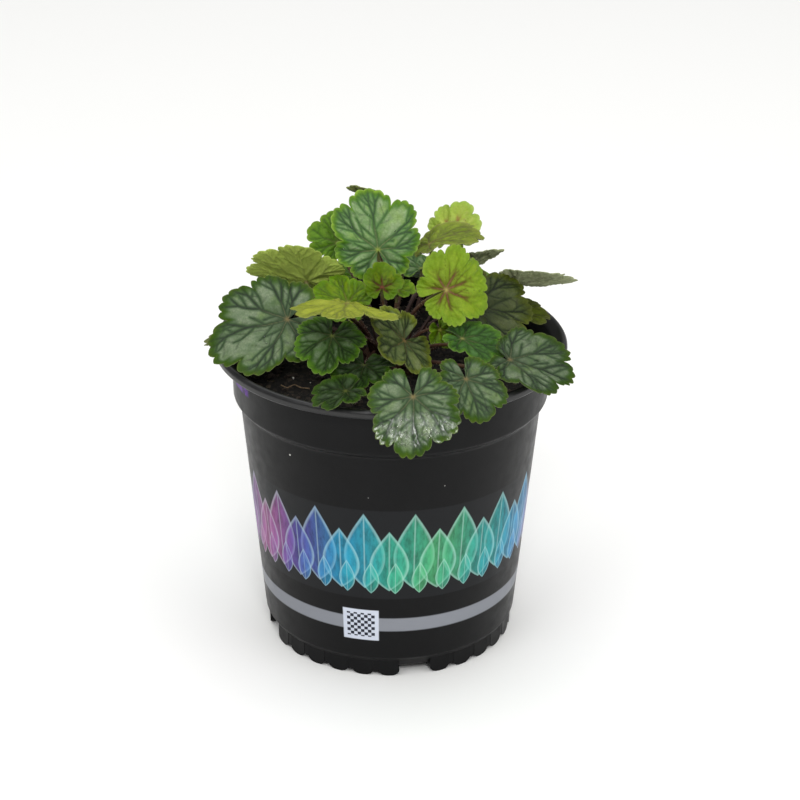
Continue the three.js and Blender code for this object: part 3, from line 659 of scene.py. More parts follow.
def pot_finish():
    """Injection-moulded polypropylene: near black and satin, with a printed sleeve of coloured ink."""
    material, tree, surface = finish("moulded_polypropylene", ior=1.49)
    place = object_millimetres(tree)
    axes = add(tree, "SeparateXYZ", {0: place}).outputs
    height = axes[2]
    back = add(tree, "Math", {0: axes[1], 1: -1.0}, operation="MULTIPLY")
    angle = add(tree, "Math", {0: axes[0], 1: back}, operation="ARCTAN2")
    turn = add(tree, "Math", {0: angle, 1: 1 / (2 * math.pi), 2: 0.5}, operation="MULTIPLY_ADD")
    level = add(tree, "VectorMath", {0: place, 1: (1, 1, 0)}, operation="MULTIPLY")
    radius = add(tree, "VectorMath", {0: level}, operation="LENGTH")
    # the print lies on the outer face alone
    skin = add(tree, "MapRange", {0: height, 1: FOOT_TOP, 2: COLLAR_BOTTOM,
                                  3: BODY_FOOT_RADIUS - SKIN, 4: BODY_TOP_RADIUS - SKIN})
    outer = add(tree, "Math", {0: radius, 1: skin}, operation="GREATER_THAN")
    haze = add(tree, "TexNoise", {"Vector": place, "Scale": 1 / HAZE, "Detail": 4.0})
    black = layered(tree, "#0D0D0E", [(haze, 1.0, "#131314")])

    # the sleeve, and its rows of leaf shapes in strokes of ink
    layers = [(band(tree, height, PRINT_BOTTOM, PRINT_TOP), outer, "#1C1D1F")]
    stretched = add(tree, "VectorMath", {0: place, 1: (1, 1, 0.35)}, operation="MULTIPLY")
    strokes = add(tree, "TexNoise", {"Vector": stretched, "Scale": 1 / INK_STROKE, "Detail": 5.0,
                                     "Roughness": 0.62})
    opacity = add(tree, "MapRange", {0: strokes, 1: 0.32, 2: 0.62, 3: INK_COVER[0], 4: INK_COVER[1]})
    for index, row in enumerate(FRIEZE):
        cover, lines = frieze_row(tree, turn, height, row)
        drift = add(tree, "Math", {0: turn, 1: INK_DRIFT * (index - 1)}, operation="ADD")
        ink = add(tree, "ValToRGB", {0: drift}, stops=INKS)
        inked = add(tree, "Math", {0: cover, 1: opacity}, operation="MULTIPLY")
        shine = add(tree, "Math", {0: lines, 1: LINE_COVER}, operation="MULTIPLY")
        layers += [(inked, outer, ink), (shine, outer, "#CFEDE8")]
    layers.append((band(tree, height, *STRIPE), outer, "#85888F"))

    # a smear of purple ink on the collar, and specks of white and of soil
    torn = add(tree, "MapRange", {0: strokes, 1: 0.42, 2: 0.5})
    layers.append((patch(tree, turn, height, SMEAR_TURN, SMEAR_HEIGHT, 0.004, 0.5), torn, "#5C1496"))
    for speck_turn, speck_height, size, code in SPECKS:
        x, y, _ = heading(speck_turn) * (COLLAR_RADIUS if speck_height > COLLAR_BOTTOM
                                         else body_radius(speck_height))
        away = add(tree, "VectorMath", {0: place, 1: (x, y, speck_height)}, operation="DISTANCE")
        dot = add(tree, "MapRange", {0: away, 1: size, 2: size * 1.4, 3: 1.0, 4: 0.0})
        layers.append((dot, 1.0, code))

    # a small printed square of plain checks
    along = add(tree, "Math", {0: angle, 1: LABEL_RADIUS, 2: -LABEL_RADIUS * math.radians(LABEL_TURN)},
                operation="MULTIPLY_ADD")
    squares = []
    for half, soft in ((LABEL_HALF, 0.2), (CHECKS_HALF, 0.05)):
        ends = (LABEL_MIDDLE - half, LABEL_MIDDLE + half)
        squares.append(patch(tree, along, height, (-half, half), ends, soft, soft))
    grid = add(tree, "CombineXYZ", {0: along, 1: height})
    cells = add(tree, "TexChecker", {"Vector": grid, "Scale": 1 / CHECK}).outputs["Fac"]
    dark = add(tree, "Math", {0: cells, 1: 0.5}, operation="GREATER_THAN")
    checks = add(tree, "Math", {0: squares[1], 1: dark}, operation="MULTIPLY")
    layers += [(squares[0], outer, "#C9CFDC"), (checks, outer, "#2A2D38")]
    tree.links.new(live(layered(tree, black, layers)), surface["Base Color"])

    # the rolled rim catches the light, and the wall is worn to a duller satin in patches
    add(tree, "MapRange", {0: height, 1: LIP_BOTTOM - 0.5, 2: LIP_BOTTOM + 0.5, 3: 0.12, 4: 0.55},
        to=surface["Specular IOR Level"])
    wear = add(tree, "TexNoise", {"Vector": place, "Scale": 1 / WEAR, "Detail": 5.0})
    add(tree, "MapRange", {0: wear, 1: 0.3, 2: 0.7, 3: 0.3, 4: 0.44}, to=surface["Roughness"])
    peel = add(tree, "TexNoise", {"Vector": place, "Scale": 1 / PEEL, "Detail": 2.0})
    add(tree, "Bump", {"Height": peel, "Strength": 0.12, "Distance": 0.0002}, to=surface["Normal"])
    return material


# ---- meshes ----


def new_piece(name, points, faces, materials, kinds=None, values=None):
    """A smooth mesh from points in millimetres. kinds gives each face's material, values the attributes."""
    mesh = bpy.data.meshes.new(name)
    mesh.from_pydata(np.asarray(points, float) * MM, [], faces)
    for material in materials:
        mesh.materials.append(material)
    mesh.polygons.foreach_set("use_smooth", [True] * len(mesh.polygons))
    if kinds is not None:
        mesh.polygons.foreach_set("material_index", kinds)
    for key, numbers in (values or {}).items():
        layer = mesh.attributes.new(key, "FLOAT", "POINT")
        layer.data.foreach_set("value", np.asarray(numbers, np.float32))
    mesh.validate()
    mesh.update()
    made = bpy.data.objects.new(name, mesh)
    bpy.context.scene.collection.objects.link(made)
    return made


def seat(piece, slot, *nodes):
    """The piece rides on the one body and stands for CAD nodes, if any. slot is not used."""
    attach(piece, "root")
    if nodes:
        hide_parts(*nodes)


def heading(turn):
    """A direction in the ground plane, in degrees from the front."""
    return np.array([math.sin(math.radians(turn)), -math.cos(math.radians(turn)), 0.0])


def polar(x, y):
    """The radius and the heading in degrees of a point in the ground plane."""
    return math.hypot(x, y), math.degrees(math.atan2(x, -y))


def unit(vector):
    """A vector's direction, as one of length 1."""
    return vector / np.linalg.norm(vector)


def join(shells):
    """One list of points and one of faces, from several shells of points and faces."""
    points = []
    faces = []
    for more, net in shells:
        start = len(points)
        points += more
        faces += [tuple(start + k for k in face) for face in net]
    return points, faces


def turned(rings, sides):
    """A closed solid of rings round the Z axis, from the middle of its top outwards and down.

    A ring is its radius and its height, or a function of radius and turn that gives the height. The
    first and the last one are points on the axis.
    """
    points = []
    for radius, height in rings:
        for k in range(sides if radius else 1):
            turn = 360 * k / sides
            x, y, _ = heading(turn) * radius
            points.append((x, y, height(radius, turn) if callable(height) else height))
    faces = [(0, 1 + k, 1 + (k + 1) % sides) for k in range(sides)]
    for ring in range(len(rings) - 3):
        start = 1 + ring * sides
        for k in range(sides):
            after = (k + 1) % sides
            faces.append((start + k, start + sides + k, start + sides + after, start + after))
    last = len(points) - 1
    faces += [(last, last - sides + (k + 1) % sides, last - sides + k) for k in range(sides)]
    return points, faces


# ---- the blades ----


def described(number, row):
    """A leaf with the usual values filled in, and those that follow from its width and number."""
    leaf = SimpleNamespace(**{**USUAL_LEAF, **row})
    leaf.half = leaf.width / 2
    leaf.size = leaf.width / GROWN_WIDTH
    leaf.growth = 0.5 + 0.5 * leaf.size
    leaf.lobes = 5 if leaf.width < SMALL_BLADE else 7
    leaf.teeth = leaf.lobes * (3 if leaf.width < FULL_BLADE else 5)
    leaf.phase = (number - 1) * PHASE_STEP
    return leaf


def crests(count, turn):
    """Evenly spaced crests round the hub: 1 on a crest and 0 between two."""
    return np.abs(np.cos(count * np.pi * turn / 2))


def sway(leaf, turn):
    """How far the lobes are pushed aside at a turn, as a share of the half span."""
    return LOBE_SWAY * np.sin(np.pi * (2.3 * turn + leaf.phase)) * (1 - turn ** 2)


def hub_angle(leaf, turn):
    """The angle from the midrib at a turn, which runs from -1 to 1 round the hub, 0 at the tip."""
    return np.radians((turn + sway(leaf, turn)) * leaf.span)


def margin_reach(leaf, turn):
    """How far the margin lies from the hub at a turn."""
    # a round blade, seen from a hub that lies off its middle
    angle = hub_angle(leaf, turn)
    offset = HUB_OFFSET * leaf.half
    around = offset * np.cos(angle) + np.sqrt(leaf.half ** 2 - (offset * np.sin(angle)) ** 2)
    # lobes with broad tips, and teeth part round and part pointed, cut unevenly deep
    lobe = 1 - LOBE_DEPTH * (1 - crests(leaf.lobes, turn) ** 0.5)
    tip = crests(leaf.teeth, turn)
    pointed = 1 - 2 * np.arccos(np.clip(tip, 0, 1)) / np.pi
    depth = TOOTH_NOTCH * (1 + NOTCH_UNEVEN * np.sin(np.pi * 7.3 * turn + 5 * leaf.phase))
    tooth = 1 - depth * (1 - 0.6 * tip ** 0.6 - 0.4 * pointed)
    uneven = 1 + LOBE_UNEVEN * np.sin(np.pi * (3.7 * turn + 2 * leaf.phase))
    return around * lobe * tooth * uneven


def flat_blade(leaf, reach, turn):
    """Points of the blade laid flat, across and along the midrib."""
    angle = hub_angle(leaf, turn)
    out = reach * margin_reach(leaf, turn)
    stretch = np.where(np.cos(angle) > 0, leaf.long, leaf.base)
    return out * np.sin(angle), out * np.cos(angle) * stretch


def leaf_axes(leaf):
    """The blade's axes: tip along the midrib, side across, up out of the upper face."""
    turn, rise, roll = leaf.aim
    tip = heading(turn) * math.cos(math.radians(rise))
    tip[2] = math.sin(math.radians(rise))
    up = unit(np.array([0.0, 0.0, 1.0]) - tip * tip[2])
    up = np.array(Matrix.Rotation(math.radians(roll), 3, Vector(tip)) @ Vector(up))
    return tip, np.cross(up, tip), up


def blade_points(leaf, reach, turn):
    """The blade's middle surface, folded, waved and drooping."""
    tip, side, up = leaf_axes(leaf)
    across, along = flat_blade(leaf, reach, turn)
    crest = WAVE * reach * (1 - crests(leaf.lobes, turn))
    ruffle = RUFFLE * reach ** 2 * np.sin(2 * hub_angle(leaf, turn))
    slope = math.radians(leaf.fold)
    height = np.abs(across) * math.sin(slope) + crest + ruffle
    bend = math.radians(leaf.droop) / (leaf.half * (1 + HUB_OFFSET))
    forward = np.sin(bend * along) / bend + height * np.sin(bend * along)
    lift = height * np.cos(bend * along) - (1 - np.cos(bend * along)) / bend
    spread = across * math.cos(slope)
    return np.array(leaf.hub) + forward[:, None] * tip + spread[:, None] * side + lift[:, None] * up


def blade_net(counts):
    """Triangles of one face between rings of points about the hub, and the loop of its edge."""
    starts = []
    reaches = []
    turns = []
    for reach, count in counts:
        starts.append(len(reaches))
        reaches += [reach] * (count + 1)
        turns += [2 * k / count - 1 if count else 0 for k in range(count + 1)]
    faces = []
    for ring in range(1, len(counts)):
        inner = counts[ring - 1][1]
        outer = counts[ring][1]
        a = b = 0
        while a < inner or b < outer:
            first = starts[ring - 1] + a
            second = starts[ring] + b
            if a == inner or (b < outer and (b + 0.5) * inner < (a + 0.5) * outer):
                faces.append((first, second, second + 1))
                b += 1
            else:
                faces.append((first, second, first + 1))
                a += 1
    last = len(counts) - 1
    edge = [0] + starts[1:last] + [starts[last] + k for k in range(counts[last][1] + 1)]
    edge += [starts[ring] + counts[ring][1] for ring in range(last - 1, 0, -1)]
    return np.array(reaches), np.array(turns), np.array(faces), np.array(edge)


def grow_veins(leaf, draw):
    """Walks the veins outwards over the flat blade: the main veins fork once or twice on their way.

    Gives three lists of points, for main, side and small veins, each with its share of the way out.
    """
    pitch = 2 / leaf.lobes
    walked = [[], [], []]

    def where(x, y):
        """The share of the way out and the turn at a point of the flat blade."""
        flat = y / (leaf.long if y > 0 else leaf.base)
        straight = math.degrees(math.atan2(x, flat)) / leaf.span
        turn = straight
        for _ in range(3):
            turn = straight - float(sway(leaf, turn))
        edge = float(margin_reach(leaf, np.array([max(-1, min(1, turn))]))[0])
        return math.hypot(x, flat) / edge, turn

    def walk(x, y, direction, order, centre, limit, forks):
        """One vein from a point, with its branches and the forks that it still has before it."""
        gone = 0.0
        next_branch = leaf.half * FIRST_BRANCH[order] * draw.uniform(*FIRST_VARIES)
        side = draw.choice((-1, 1))
        while gone < limit:
            reach, turn = where(x, y)
            astray = abs(turn - centre) > pitch * VEIN_STRAY[order]
            if reach > VEIN_END or (reach > 0.05 and (abs(turn) > 0.995 or astray)):
                return
            walked[order].append((x, y, reach))
            if forks and reach > forks[0]:
                spread = draw.uniform(*FORK_SPREAD)
                share = draw.uniform(*FORK_SPLIT)
                walk(x, y, direction - spread * 2 * share, order, centre, limit - gone, forks[1:])
                walk(x, y, direction + spread * 2 * (1 - share), order, centre, limit - gone, forks[1:])
                return
            if gone or order:
                off = (math.atan2(x, y) - direction + math.pi) % (2 * math.pi) - math.pi
                direction += VEIN_PULL[order] * off
            direction += draw.gauss(0, VEIN_WOBBLE)
            x += VEIN_STEP * math.sin(direction)
            y += VEIN_STEP * math.cos(direction)
            gone += VEIN_STEP
            if gone > next_branch and reach > BRANCHES_FROM:
                away = direction + math.radians(draw.uniform(*BRANCH_ANGLE)) * side
                length = leaf.half * BRANCH_LENGTH[order] * draw.uniform(*LENGTH_VARIES)
                walk(x, y, away, order + 1, centre, length, ())
                side = -side
                next_branch = gone + leaf.half * NEXT_BRANCH[order] * draw.uniform(*NEXT_VARIES)

    for main in range(leaf.lobes):
        # it sets off towards the tip of its lobe
        centre = (main - (leaf.lobes - 1) / 2) * pitch
        across, along = flat_blade(leaf, np.array([0.9]), np.array([centre * 0.985]))
        forks = [draw.uniform(*places) for places in FORKS_AT]
        walk(0, 0, math.atan2(across[0], along[0]), 0, centre, leaf.half * 3, forks)
    return walked


def nearest(points, net):
    """Each point's distance to a net of vein points, and how far out the vein is there."""
    tree = kdtree.KDTree(len(net))
    for index, (x, y, _) in enumerate(net):
        tree.insert((x, y, 0), index)
    tree.balance()
    found = [tree.find((x, y, 0)) for x, y in points]
    return np.array([f[2] for f in found]), np.array([net[f[1]][2] for f in found])


def ease(low, high, value):
    """0 below low, 1 above high, smooth between them."""
    share = np.clip((value - low) / (high - low), 0, 1)
    return share * share * (3 - 2 * share)


def bell(distance, width):
    """1 at no distance, falling softly to nothing beyond the width."""
    return np.exp(-(distance / width) ** 2)


def wandering(flat, pace, level):
    """Slow noise over the flat blade, around 0."""
    return np.array([noise.noise(Vector((x * pace, y * pace, level))) for x, y in flat])


def survey(leaf, reach, turn, draw):
    """What the points of the blade lie near: its margin, its hub and the veins grown on it."""
    across, along = flat_blade(leaf, reach, turn)
    flat = list(zip(across, along))
    main, side, small = (nearest(flat, net) for net in grow_veins(leaf, draw))
    main_width = (MAIN_WIDTH[0] - MAIN_WIDTH[1] * main[1]) * leaf.growth
    side_width = (SIDE_WIDTH[0] - SIDE_WIDTH[1] * side[1]) * leaf.growth
    return SimpleNamespace(
        reach=reach,
        forward=along / leaf.half,
        margin=(1 - reach) * margin_reach(leaf, turn),
        hub=np.hypot(across, along),
        main=main[0],
        main_reach=main[1],
        side=side[0],
        main_width=main_width,
        main_line=bell(main[0], main_width),
        main_core=bell(main[0], 0.45 * main_width),
        side_line=bell(side[0], side_width),
        side_core=bell(side[0], 0.5 * side_width),
        small_line=bell(small[0], SMALL_WIDTH),
        wander=wandering(flat, 0.2, leaf.phase * 9),
        fine=wandering(flat, 0.45, leaf.phase * 7),
    )


def blade_masks(leaf, near):
    """The masks that colour the blade, by the names in MASKS. under and the tone factor come later."""
    core = bell(near.hub, CORE_WIDTH * leaf.half * leaf.dark)
    vein = np.maximum(0.5 * near.main_line + 0.5 * near.main_core,
                      0.35 * near.side_line + 0.45 * near.side_core)
    vein = np.maximum(vein, 0.55 * near.small_line)
    if leaf.star:
        # the colour of the veins stays near the hub
        faded = ease(*STAR_END, near.reach + 0.15 * near.fine)
        vein = np.maximum(vein, 0.9 * near.main_line) * (1 - faded)
    rim_depth = (RIM_DEPTH[0] + RIM_DEPTH[1] * near.wander) * (0.4 + 0.6 * leaf.size)
    rim = 1 - ease(0.3 * rim_depth, 1.35 * rim_depth, near.margin)
    clear = np.minimum(near.main - 0.35 * near.main_width, near.side - 0.1)
    wet = ease(*WET_FROM, near.forward) * (1 - ease(*WET_TO, near.forward)) * ease(-0.3, 0.0, near.fine)
    return dict(
        vein=np.maximum(vein * (1 - 0.6 * rim), (0.8 if leaf.dark > 2 else 0.6) * core),
        rib=bell(near.main, RIB_WIDTH) * (1 - ease(0.2, 0.5, near.main_reach)),
        panel=ease(*PANEL_EDGE, clear) * (1 - rim) * (1 - 0.75 * core),
        rim=rim,
        tooth=bell(near.margin, TOOTH_BAND),
        hub=bell(near.hub, HUB_SPOT * leaf.growth),
        line=bell(near.margin, MARGIN_BAND),
        wet=wet * leaf.wet,
    )


def blade_relief(leaf, near):
    """The height over the middle surface: veins sunk, and the tissue between them swollen."""
    swell = 1 - bell(np.minimum(near.main, near.side), SWELL_WIDTH * leaf.growth)
    calm = (1 - 0.55 * ease(0.8, 1.0, near.reach)) * ease(0.0, 0.25, near.reach)
    lines = (near.main_line, near.side_line, near.small_line)
    groove = sum(depth * line for depth, line in zip(GROOVES, lines))
    waves = SLOW_WAVES * near.wander * near.reach * leaf.size * leaf.pucker
    return (SWELL_HEIGHT * leaf.pucker * swell * leaf.size - groove) * calm + waves


def blade_normals(leaf, reach, turn):
    """Directions out of the upper face of the middle surface."""
    step = 0.01
    near = np.clip(reach, 0.06, 0.98)
    outwards = blade_points(leaf, near + step, turn) - blade_points(leaf, near, turn)
    sideways = blade_points(leaf, near, turn + step) - blade_points(leaf, near, turn - step)
    normal = np.cross(outwards, sideways)
    normal[0] = leaf_axes(leaf)[2]
    return normal / np.linalg.norm(normal, axis=1)[:, None]


def blade_mesh(leaf, draw):
    """The closed blade and its masks. Its upper points come first, then its lower ones."""
    # rings of points about the hub, evenly spaced: the outermost has as many to each tooth
    segments = 2 * max(3, round(1.25 * math.pi * leaf.half / leaf.teeth / BLADE_STEP))
    rings = max(10, round(1.2 * leaf.half / BLADE_STEP))
    counts = [(0, 0)]
    for ring in range(1, rings + 1):
        share = ring / rings
        counts.append((share, max(leaf.lobes * 2, round(leaf.teeth * segments * share))))
    reach, turn, faces, edge = blade_net(counts)
    near = survey(leaf, reach, turn, draw)

    normal = blade_normals(leaf, reach, turn)
    surface = blade_points(leaf, reach, turn) + normal * blade_relief(leaf, near)[:, None]
    thick = EDGE_THICKNESS + (BLADE_THICKNESS - EDGE_THICKNESS) * ease(0, EDGE_DEPTH, near.margin)
    ridge = RIDGES[0] * near.main_line * (1 - 0.6 * reach) + RIDGES[1] * near.side_line
    top = surface + normal * (thick / 2)[:, None]
    bottom = surface - normal * (thick / 2 + ridge)[:, None]

    count = len(reach)
    after = np.roll(edge, -1)
    wall = [np.stack([count + edge, count + after, after], 1), np.stack([count + edge, after, edge], 1)]
    values = {key: np.tile(mask, 2) for key, mask in blade_masks(leaf, near).items()}
    values["under"] = np.repeat([0.0, 1.0], count)
    # how light the leaf is drawn: its own tone, with painted shade on the leaves deep under the others
    values["shade"] = np.full(count * 2, draw.uniform(0.96, 1.05) * leaf.shade)
    return np.concatenate([top, bottom]), np.concatenate([faces, count + faces[:, ::-1], *wall]), values


# ---- the petioles ----


def crown_height(radius):
    """The height of the crown's dome."""
    share = min(max(radius / CROWN_RADIUS, 0), 1)
    return CROWN_TOP + (CROWN_EDGE - CROWN_TOP) * share ** 2.4


def petiole_curve(leaf):
    """Points along the petiole, from inside the crown to the underside of the blade at its hub."""
    tip, _, up = leaf_axes(leaf)
    radius, turn = leaf.root
    surface = heading(turn) * radius
    climb = surface / CROWN_RADIUS
    climb[2] = 1
    surface[2] = crown_height(radius)
    start = surface - np.array([0, 0, PETIOLE_DEPTH])
    # it comes up to the blade from below, and ends in it just before the hub
    end = np.array(leaf.hub) + tip * PETIOLE_END[0] - up * PETIOLE_END[1]
    length = np.linalg.norm(surface - end)
    rise = surface + climb * (length * USUAL_RISE if leaf.rise is None else leaf.rise)
    approach = end - unit(up * 0.75 + tip * leaf.arrive) * length * APPROACH
    t = np.linspace(0, 1, PETIOLE_RINGS)[:, None]
    return (1 - t) ** 3 * start + 3 * (1 - t) ** 2 * t * rise + 3 * (1 - t) * t ** 2 * approach + t ** 3 * end


def tube(path, radii, sides):
    """A closed tube round a path, and for each point of the path the directions out of it."""
    tangents = np.gradient(path, axis=0)
    tangents /= np.linalg.norm(tangents, axis=1)[:, None]
    normal = np.cross(tangents[0], [0.3, 0.9, 0.1])
    rings = []
    spokes = []
    for place, tangent, radius in zip(path, tangents, radii):
        normal = unit(normal - tangent * np.dot(normal, tangent))
        other = np.cross(tangent, normal)
        angles = np.arange(sides) * 2 * math.pi / sides
        spoke = np.cos(angles)[:, None] * normal + np.sin(angles)[:, None] * other
        spokes.append(spoke)
        rings.append(place + spoke * radius)
    points = np.concatenate(rings + [path[:1], path[-1:]])
    faces = []
    for ring in range(len(path) - 1):
        for k in range(sides):
            a = ring * sides + k
            b = ring * sides + (k + 1) % sides
            faces += [(a, b, b + sides), (a, b + sides, a + sides)]
    foot = len(path) * sides
    end = (len(path) - 1) * sides
    for k in range(sides):
        faces.append((foot, (k + 1) % sides, k))
        faces.append((foot + 1, end + k, end + (k + 1) % sides))
    return points, np.array(faces), spokes


def jitter(draw, most):
    """A step of a random length along each axis."""
    return np.array([draw.uniform(-most, most) for _ in range(3)])


def petiole_mesh(leaf, draw):
    """The tapered stalk with a sheath at its foot, and the feet and tips of short hairs on it."""
    path = petiole_curve(leaf)
    t = np.linspace(0, 1, PETIOLE_RINGS)
    sheath = SHEATH * bell(t - SHEATH_MIDDLE, SHEATH_LENGTH)
    radii = (0.75 + 0.25 * leaf.size) * (PETIOLE_RADIUS + sheath - PETIOLE_TAPER * t)
    points, faces, spokes = tube(path, radii, PETIOLE_SIDES)
    along = np.concatenate([np.repeat(t, PETIOLE_SIDES), [0, 1]])
    hairs = []
    for _ in range(int(HAIRS + leaf.width)):
        ring = draw.randrange(6, PETIOLE_RINGS - 1)
        side = draw.randrange(PETIOLE_SIDES)
        out = spokes[ring][side]
        foot = path[ring] + out * radii[ring] * 0.95 + jitter(draw, HAIR_SCATTER)
        hairs.append((foot, foot + out * draw.uniform(*HAIR_LENGTH) + jitter(draw, HAIR_LEAN)))
    return points, faces, along, hairs


def hair_mesh(hairs):
    """Each hair as a slim three-sided spike."""
    points = []
    faces = []
    for foot, tip in hairs:
        start = len(points)
        across = unit(np.cross(tip - foot, [0.2, 0.3, 0.9])) * HAIR_WIDTH
        other = unit(np.cross(tip - foot, across)) * HAIR_WIDTH
        points += [foot + across, foot - across * 0.5 + other, foot - across * 0.5 - other, tip]
        faces += [(start, start + 1, start + 3), (start + 1, start + 2, start + 3),
                  (start + 2, start, start + 3), (start, start + 2, start + 1)]
    return np.array(points), np.array(faces)


# ---- whole leaves ----


def drop_mesh():
    """A water drop of radius 1: a low dome whose foot goes a little into the blade."""
    rings = [(share, DROP_HEIGHT * math.sqrt(1 - share ** 2)) for share in (0, 0.35, 0.65, 0.88, 1.0)]
    points, faces = turned([*rings, (0, -DROP_SUNK)], DROP_SIDES)
    triangles = [(face[0], *pair) for face in faces for pair in zip(face[1:], face[2:])]
    return np.array(points), np.array(triangles)


def drop_shells(leaf, top, bottom, values, draw):
    """Water drops on the upper face: fine ones where it is wet, and those that the leaf's row names."""
    wetted = np.flatnonzero(values["wet"][:len(top)] * values["panel"][:len(top)] > 0.35)
    fine_drops = range(FINE_DROPS if len(wetted) else 0)
    spots = [(draw.choice(wetted), draw.uniform(*FINE_DROP_RADIUS)) for _ in fine_drops]
    for reach, turn, radius in leaf.drops:
        foot = blade_points(leaf, np.array([reach]), np.array([turn]))[0]
        spots.append((np.argmin(np.linalg.norm(top - foot, axis=1)), radius))
    dome, faces = drop_mesh()
    shells = []
    for spot, radius in spots:
        up = unit(top[spot] - bottom[spot])
        side = unit(np.cross(up, [0.3, 0.9, 0.2]))
        shells.append((top[spot] + radius * dome @ np.array([np.cross(up, side), -side, up]), faces, 3))
    return shells


def make_leaf(number, leaf, materials):
    """A blade, its petiole, the hairs on that and the drops on the blade, with a material for each."""
    draw = random.Random(100 + number)
    blade, blade_faces, values = blade_mesh(leaf, draw)
    stem, stem_faces, along, hairs = petiole_mesh(leaf, draw)
    spikes, spike_faces = hair_mesh(hairs)
    shells = [(blade, blade_faces, 0), (stem, stem_faces, 1), (spikes, spike_faces, 2)]
    shells += drop_shells(leaf, *np.split(blade, 2), values, draw)
    starts = np.cumsum([0] + [len(shell[0]) for shell in shells])
    points = np.concatenate([shell[0] for shell in shells])
    faces = np.concatenate([shell[1] + start for shell, start in zip(shells, starts)])
    kinds = np.repeat([shell[2] for shell in shells], [len(shell[1]) for shell in shells])
    rest = len(points) - len(blade)
    values = {key: np.concatenate([mask, np.zeros(rest)]) for key, mask in values.items()}
    values["along"] = np.concatenate([np.zeros(len(blade)), along, np.zeros(rest - len(stem))])
    made = new_piece(f"heuchera_leaf_{number:02d}", points, faces.tolist(), materials, kinds, values)
    seat(made, "leaf", f"leaf_{number:02d}")


# ---- crown and potting mix ----


def body_radius(height):
    """The pot's outer radius below the ledge."""
    share = (height - FOOT_TOP) / (COLLAR_BOTTOM - FOOT_TOP)
    return BODY_FOOT_RADIUS + (BODY_TOP_RADIUS - BODY_FOOT_RADIUS) * share


def soil_height(radius, turn):
    """The mix's surface without its crumbs: a low mound with a slow and a quick wave round it."""
    share = radius / COLLAR_RADIUS
    mound = SOIL_CROWN_HEIGHT + (SOIL_RIM_HEIGHT - SOIL_CROWN_HEIGHT) * share
    slow = math.sin(math.radians(3 * turn + 20))
    quick = math.sin(math.radians(7 * turn))
    return mound + (MOUND_WAVES[0] * slow + MOUND_WAVES[1] * quick) * share


def crumbly(radius, turn):
    """The mix's surface with crumbs and hollows."""
    x, y, _ = heading(turn) * radius
    crumbs = noise.fractal(Vector((x, y, 0)) * CRUMBS_PER_MM, 0.6, 2.2, 4)
    lumps = abs(noise.noise(Vector((x, y, 5)) * LUMPS_PER_MM))
    return soil_height(radius, turn) - 0.4 + CRUMB_HEIGHT * crumbs + LUMP_HEIGHT * lumps


def knobbly(radius, turn):
    """The crown's surface with the knobs of old leaf bases."""
    x, y, _ = heading(turn) * radius
    knobs = abs(noise.noise(Vector((x, y, 3)) * KNOBS_PER_MM))
    return crown_height(radius) - 0.9 + KNOB_HEIGHT * knobs


def make_mix():
    """The potting mix, which fills the pot."""
    brim = COLLAR_RADIUS - WALL - 0.5
    radii = [0] + [MIX_STEP * k for k in range(4, math.ceil(brim / MIX_STEP))] + [brim]
    foot = body_radius(FOOT_TOP) - MIX_INSET
    points, faces = turned([
        *[(radius, crumbly) for radius in radii],
        (brim - 0.4, COLLAR_BOTTOM + 1.2),
        (body_radius(LEDGE_BOTTOM) - MIX_INSET, LEDGE_BOTTOM + 0.3),
        (foot, FLOOR_TOP + 2.7),
        (foot - 2.6, FLOOR_TOP + 0.3),
        (0, FLOOR_TOP + 0.3),
    ], MIX_SIDES)
    seat(new_piece("potting_mix_bed", points, faces, [soil_finish()]), "potting_mix", "potting_mix")


def make_crown():
    """A woody dome of old leaf bases."""
    radii = [CROWN_STEP * k for k in range(25)] + [CROWN_RADIUS - 0.2]
    rings = [(radius, knobbly) for radius in radii]
    rings += [(CROWN_RADIUS, CROWN_SHOULDER), (CROWN_RADIUS * 0.8, CROWN_FOOT), (0, CROWN_FOOT)]
    points, faces = turned(rings, CROWN_SIDES)
    crown = new_piece("woody_crown", points, faces, [bark_finish("crown_bark", "#2A1A12", "#5A4030")])
    seat(crown, "crown_bark", "crown")


# an angular lump: corners on its axes and at its eight ends, and the triangles between them
CHUNK_END = 0.6
CHUNK_CORNERS = [(-1, 0, 0), (1, 0, 0), (0, -1, 0), (0, 1, 0), (0, 0, -1), (0, 0, 1)] + [
    (x * CHUNK_END, y * CHUNK_END, z * CHUNK_END)
    for z in (1, -1) for x, y in ((-1, -1), (1, -1), (1, 1), (-1, 1))
]
CHUNK_FACES = [
    (6, 7, 5), (7, 8, 5), (8, 9, 5), (9, 6, 5), (11, 10, 4), (12, 11, 4), (13, 12, 4), (10, 13, 4),
    (7, 6, 2), (6, 10, 2), (10, 11, 2), (11, 7, 2), (8, 7, 1), (7, 11, 1), (11, 12, 1), (12, 8, 1),
    (9, 8, 3), (8, 12, 3), (12, 13, 3), (13, 9, 3), (6, 9, 0), (9, 13, 0), (13, 10, 0), (10, 6, 0),
]


def chunk(draw, centre, size, flat):
    """A lump with uneven corners, turned and tipped at random."""
    turn = Matrix.Rotation(draw.uniform(0, 6.28), 3, "Z") @ Matrix.Rotation(draw.gauss(0, 0.35), 3, "X")
    points = []
    for x, y, z in CHUNK_CORNERS:
        local = Vector((x * size, y * size * draw.uniform(0.5, 0.75), z * size * flat))
        local *= draw.uniform(0.75, 1.15)
        points.append(Vector(centre) + turn @ local)
    return points, CHUNK_FACES


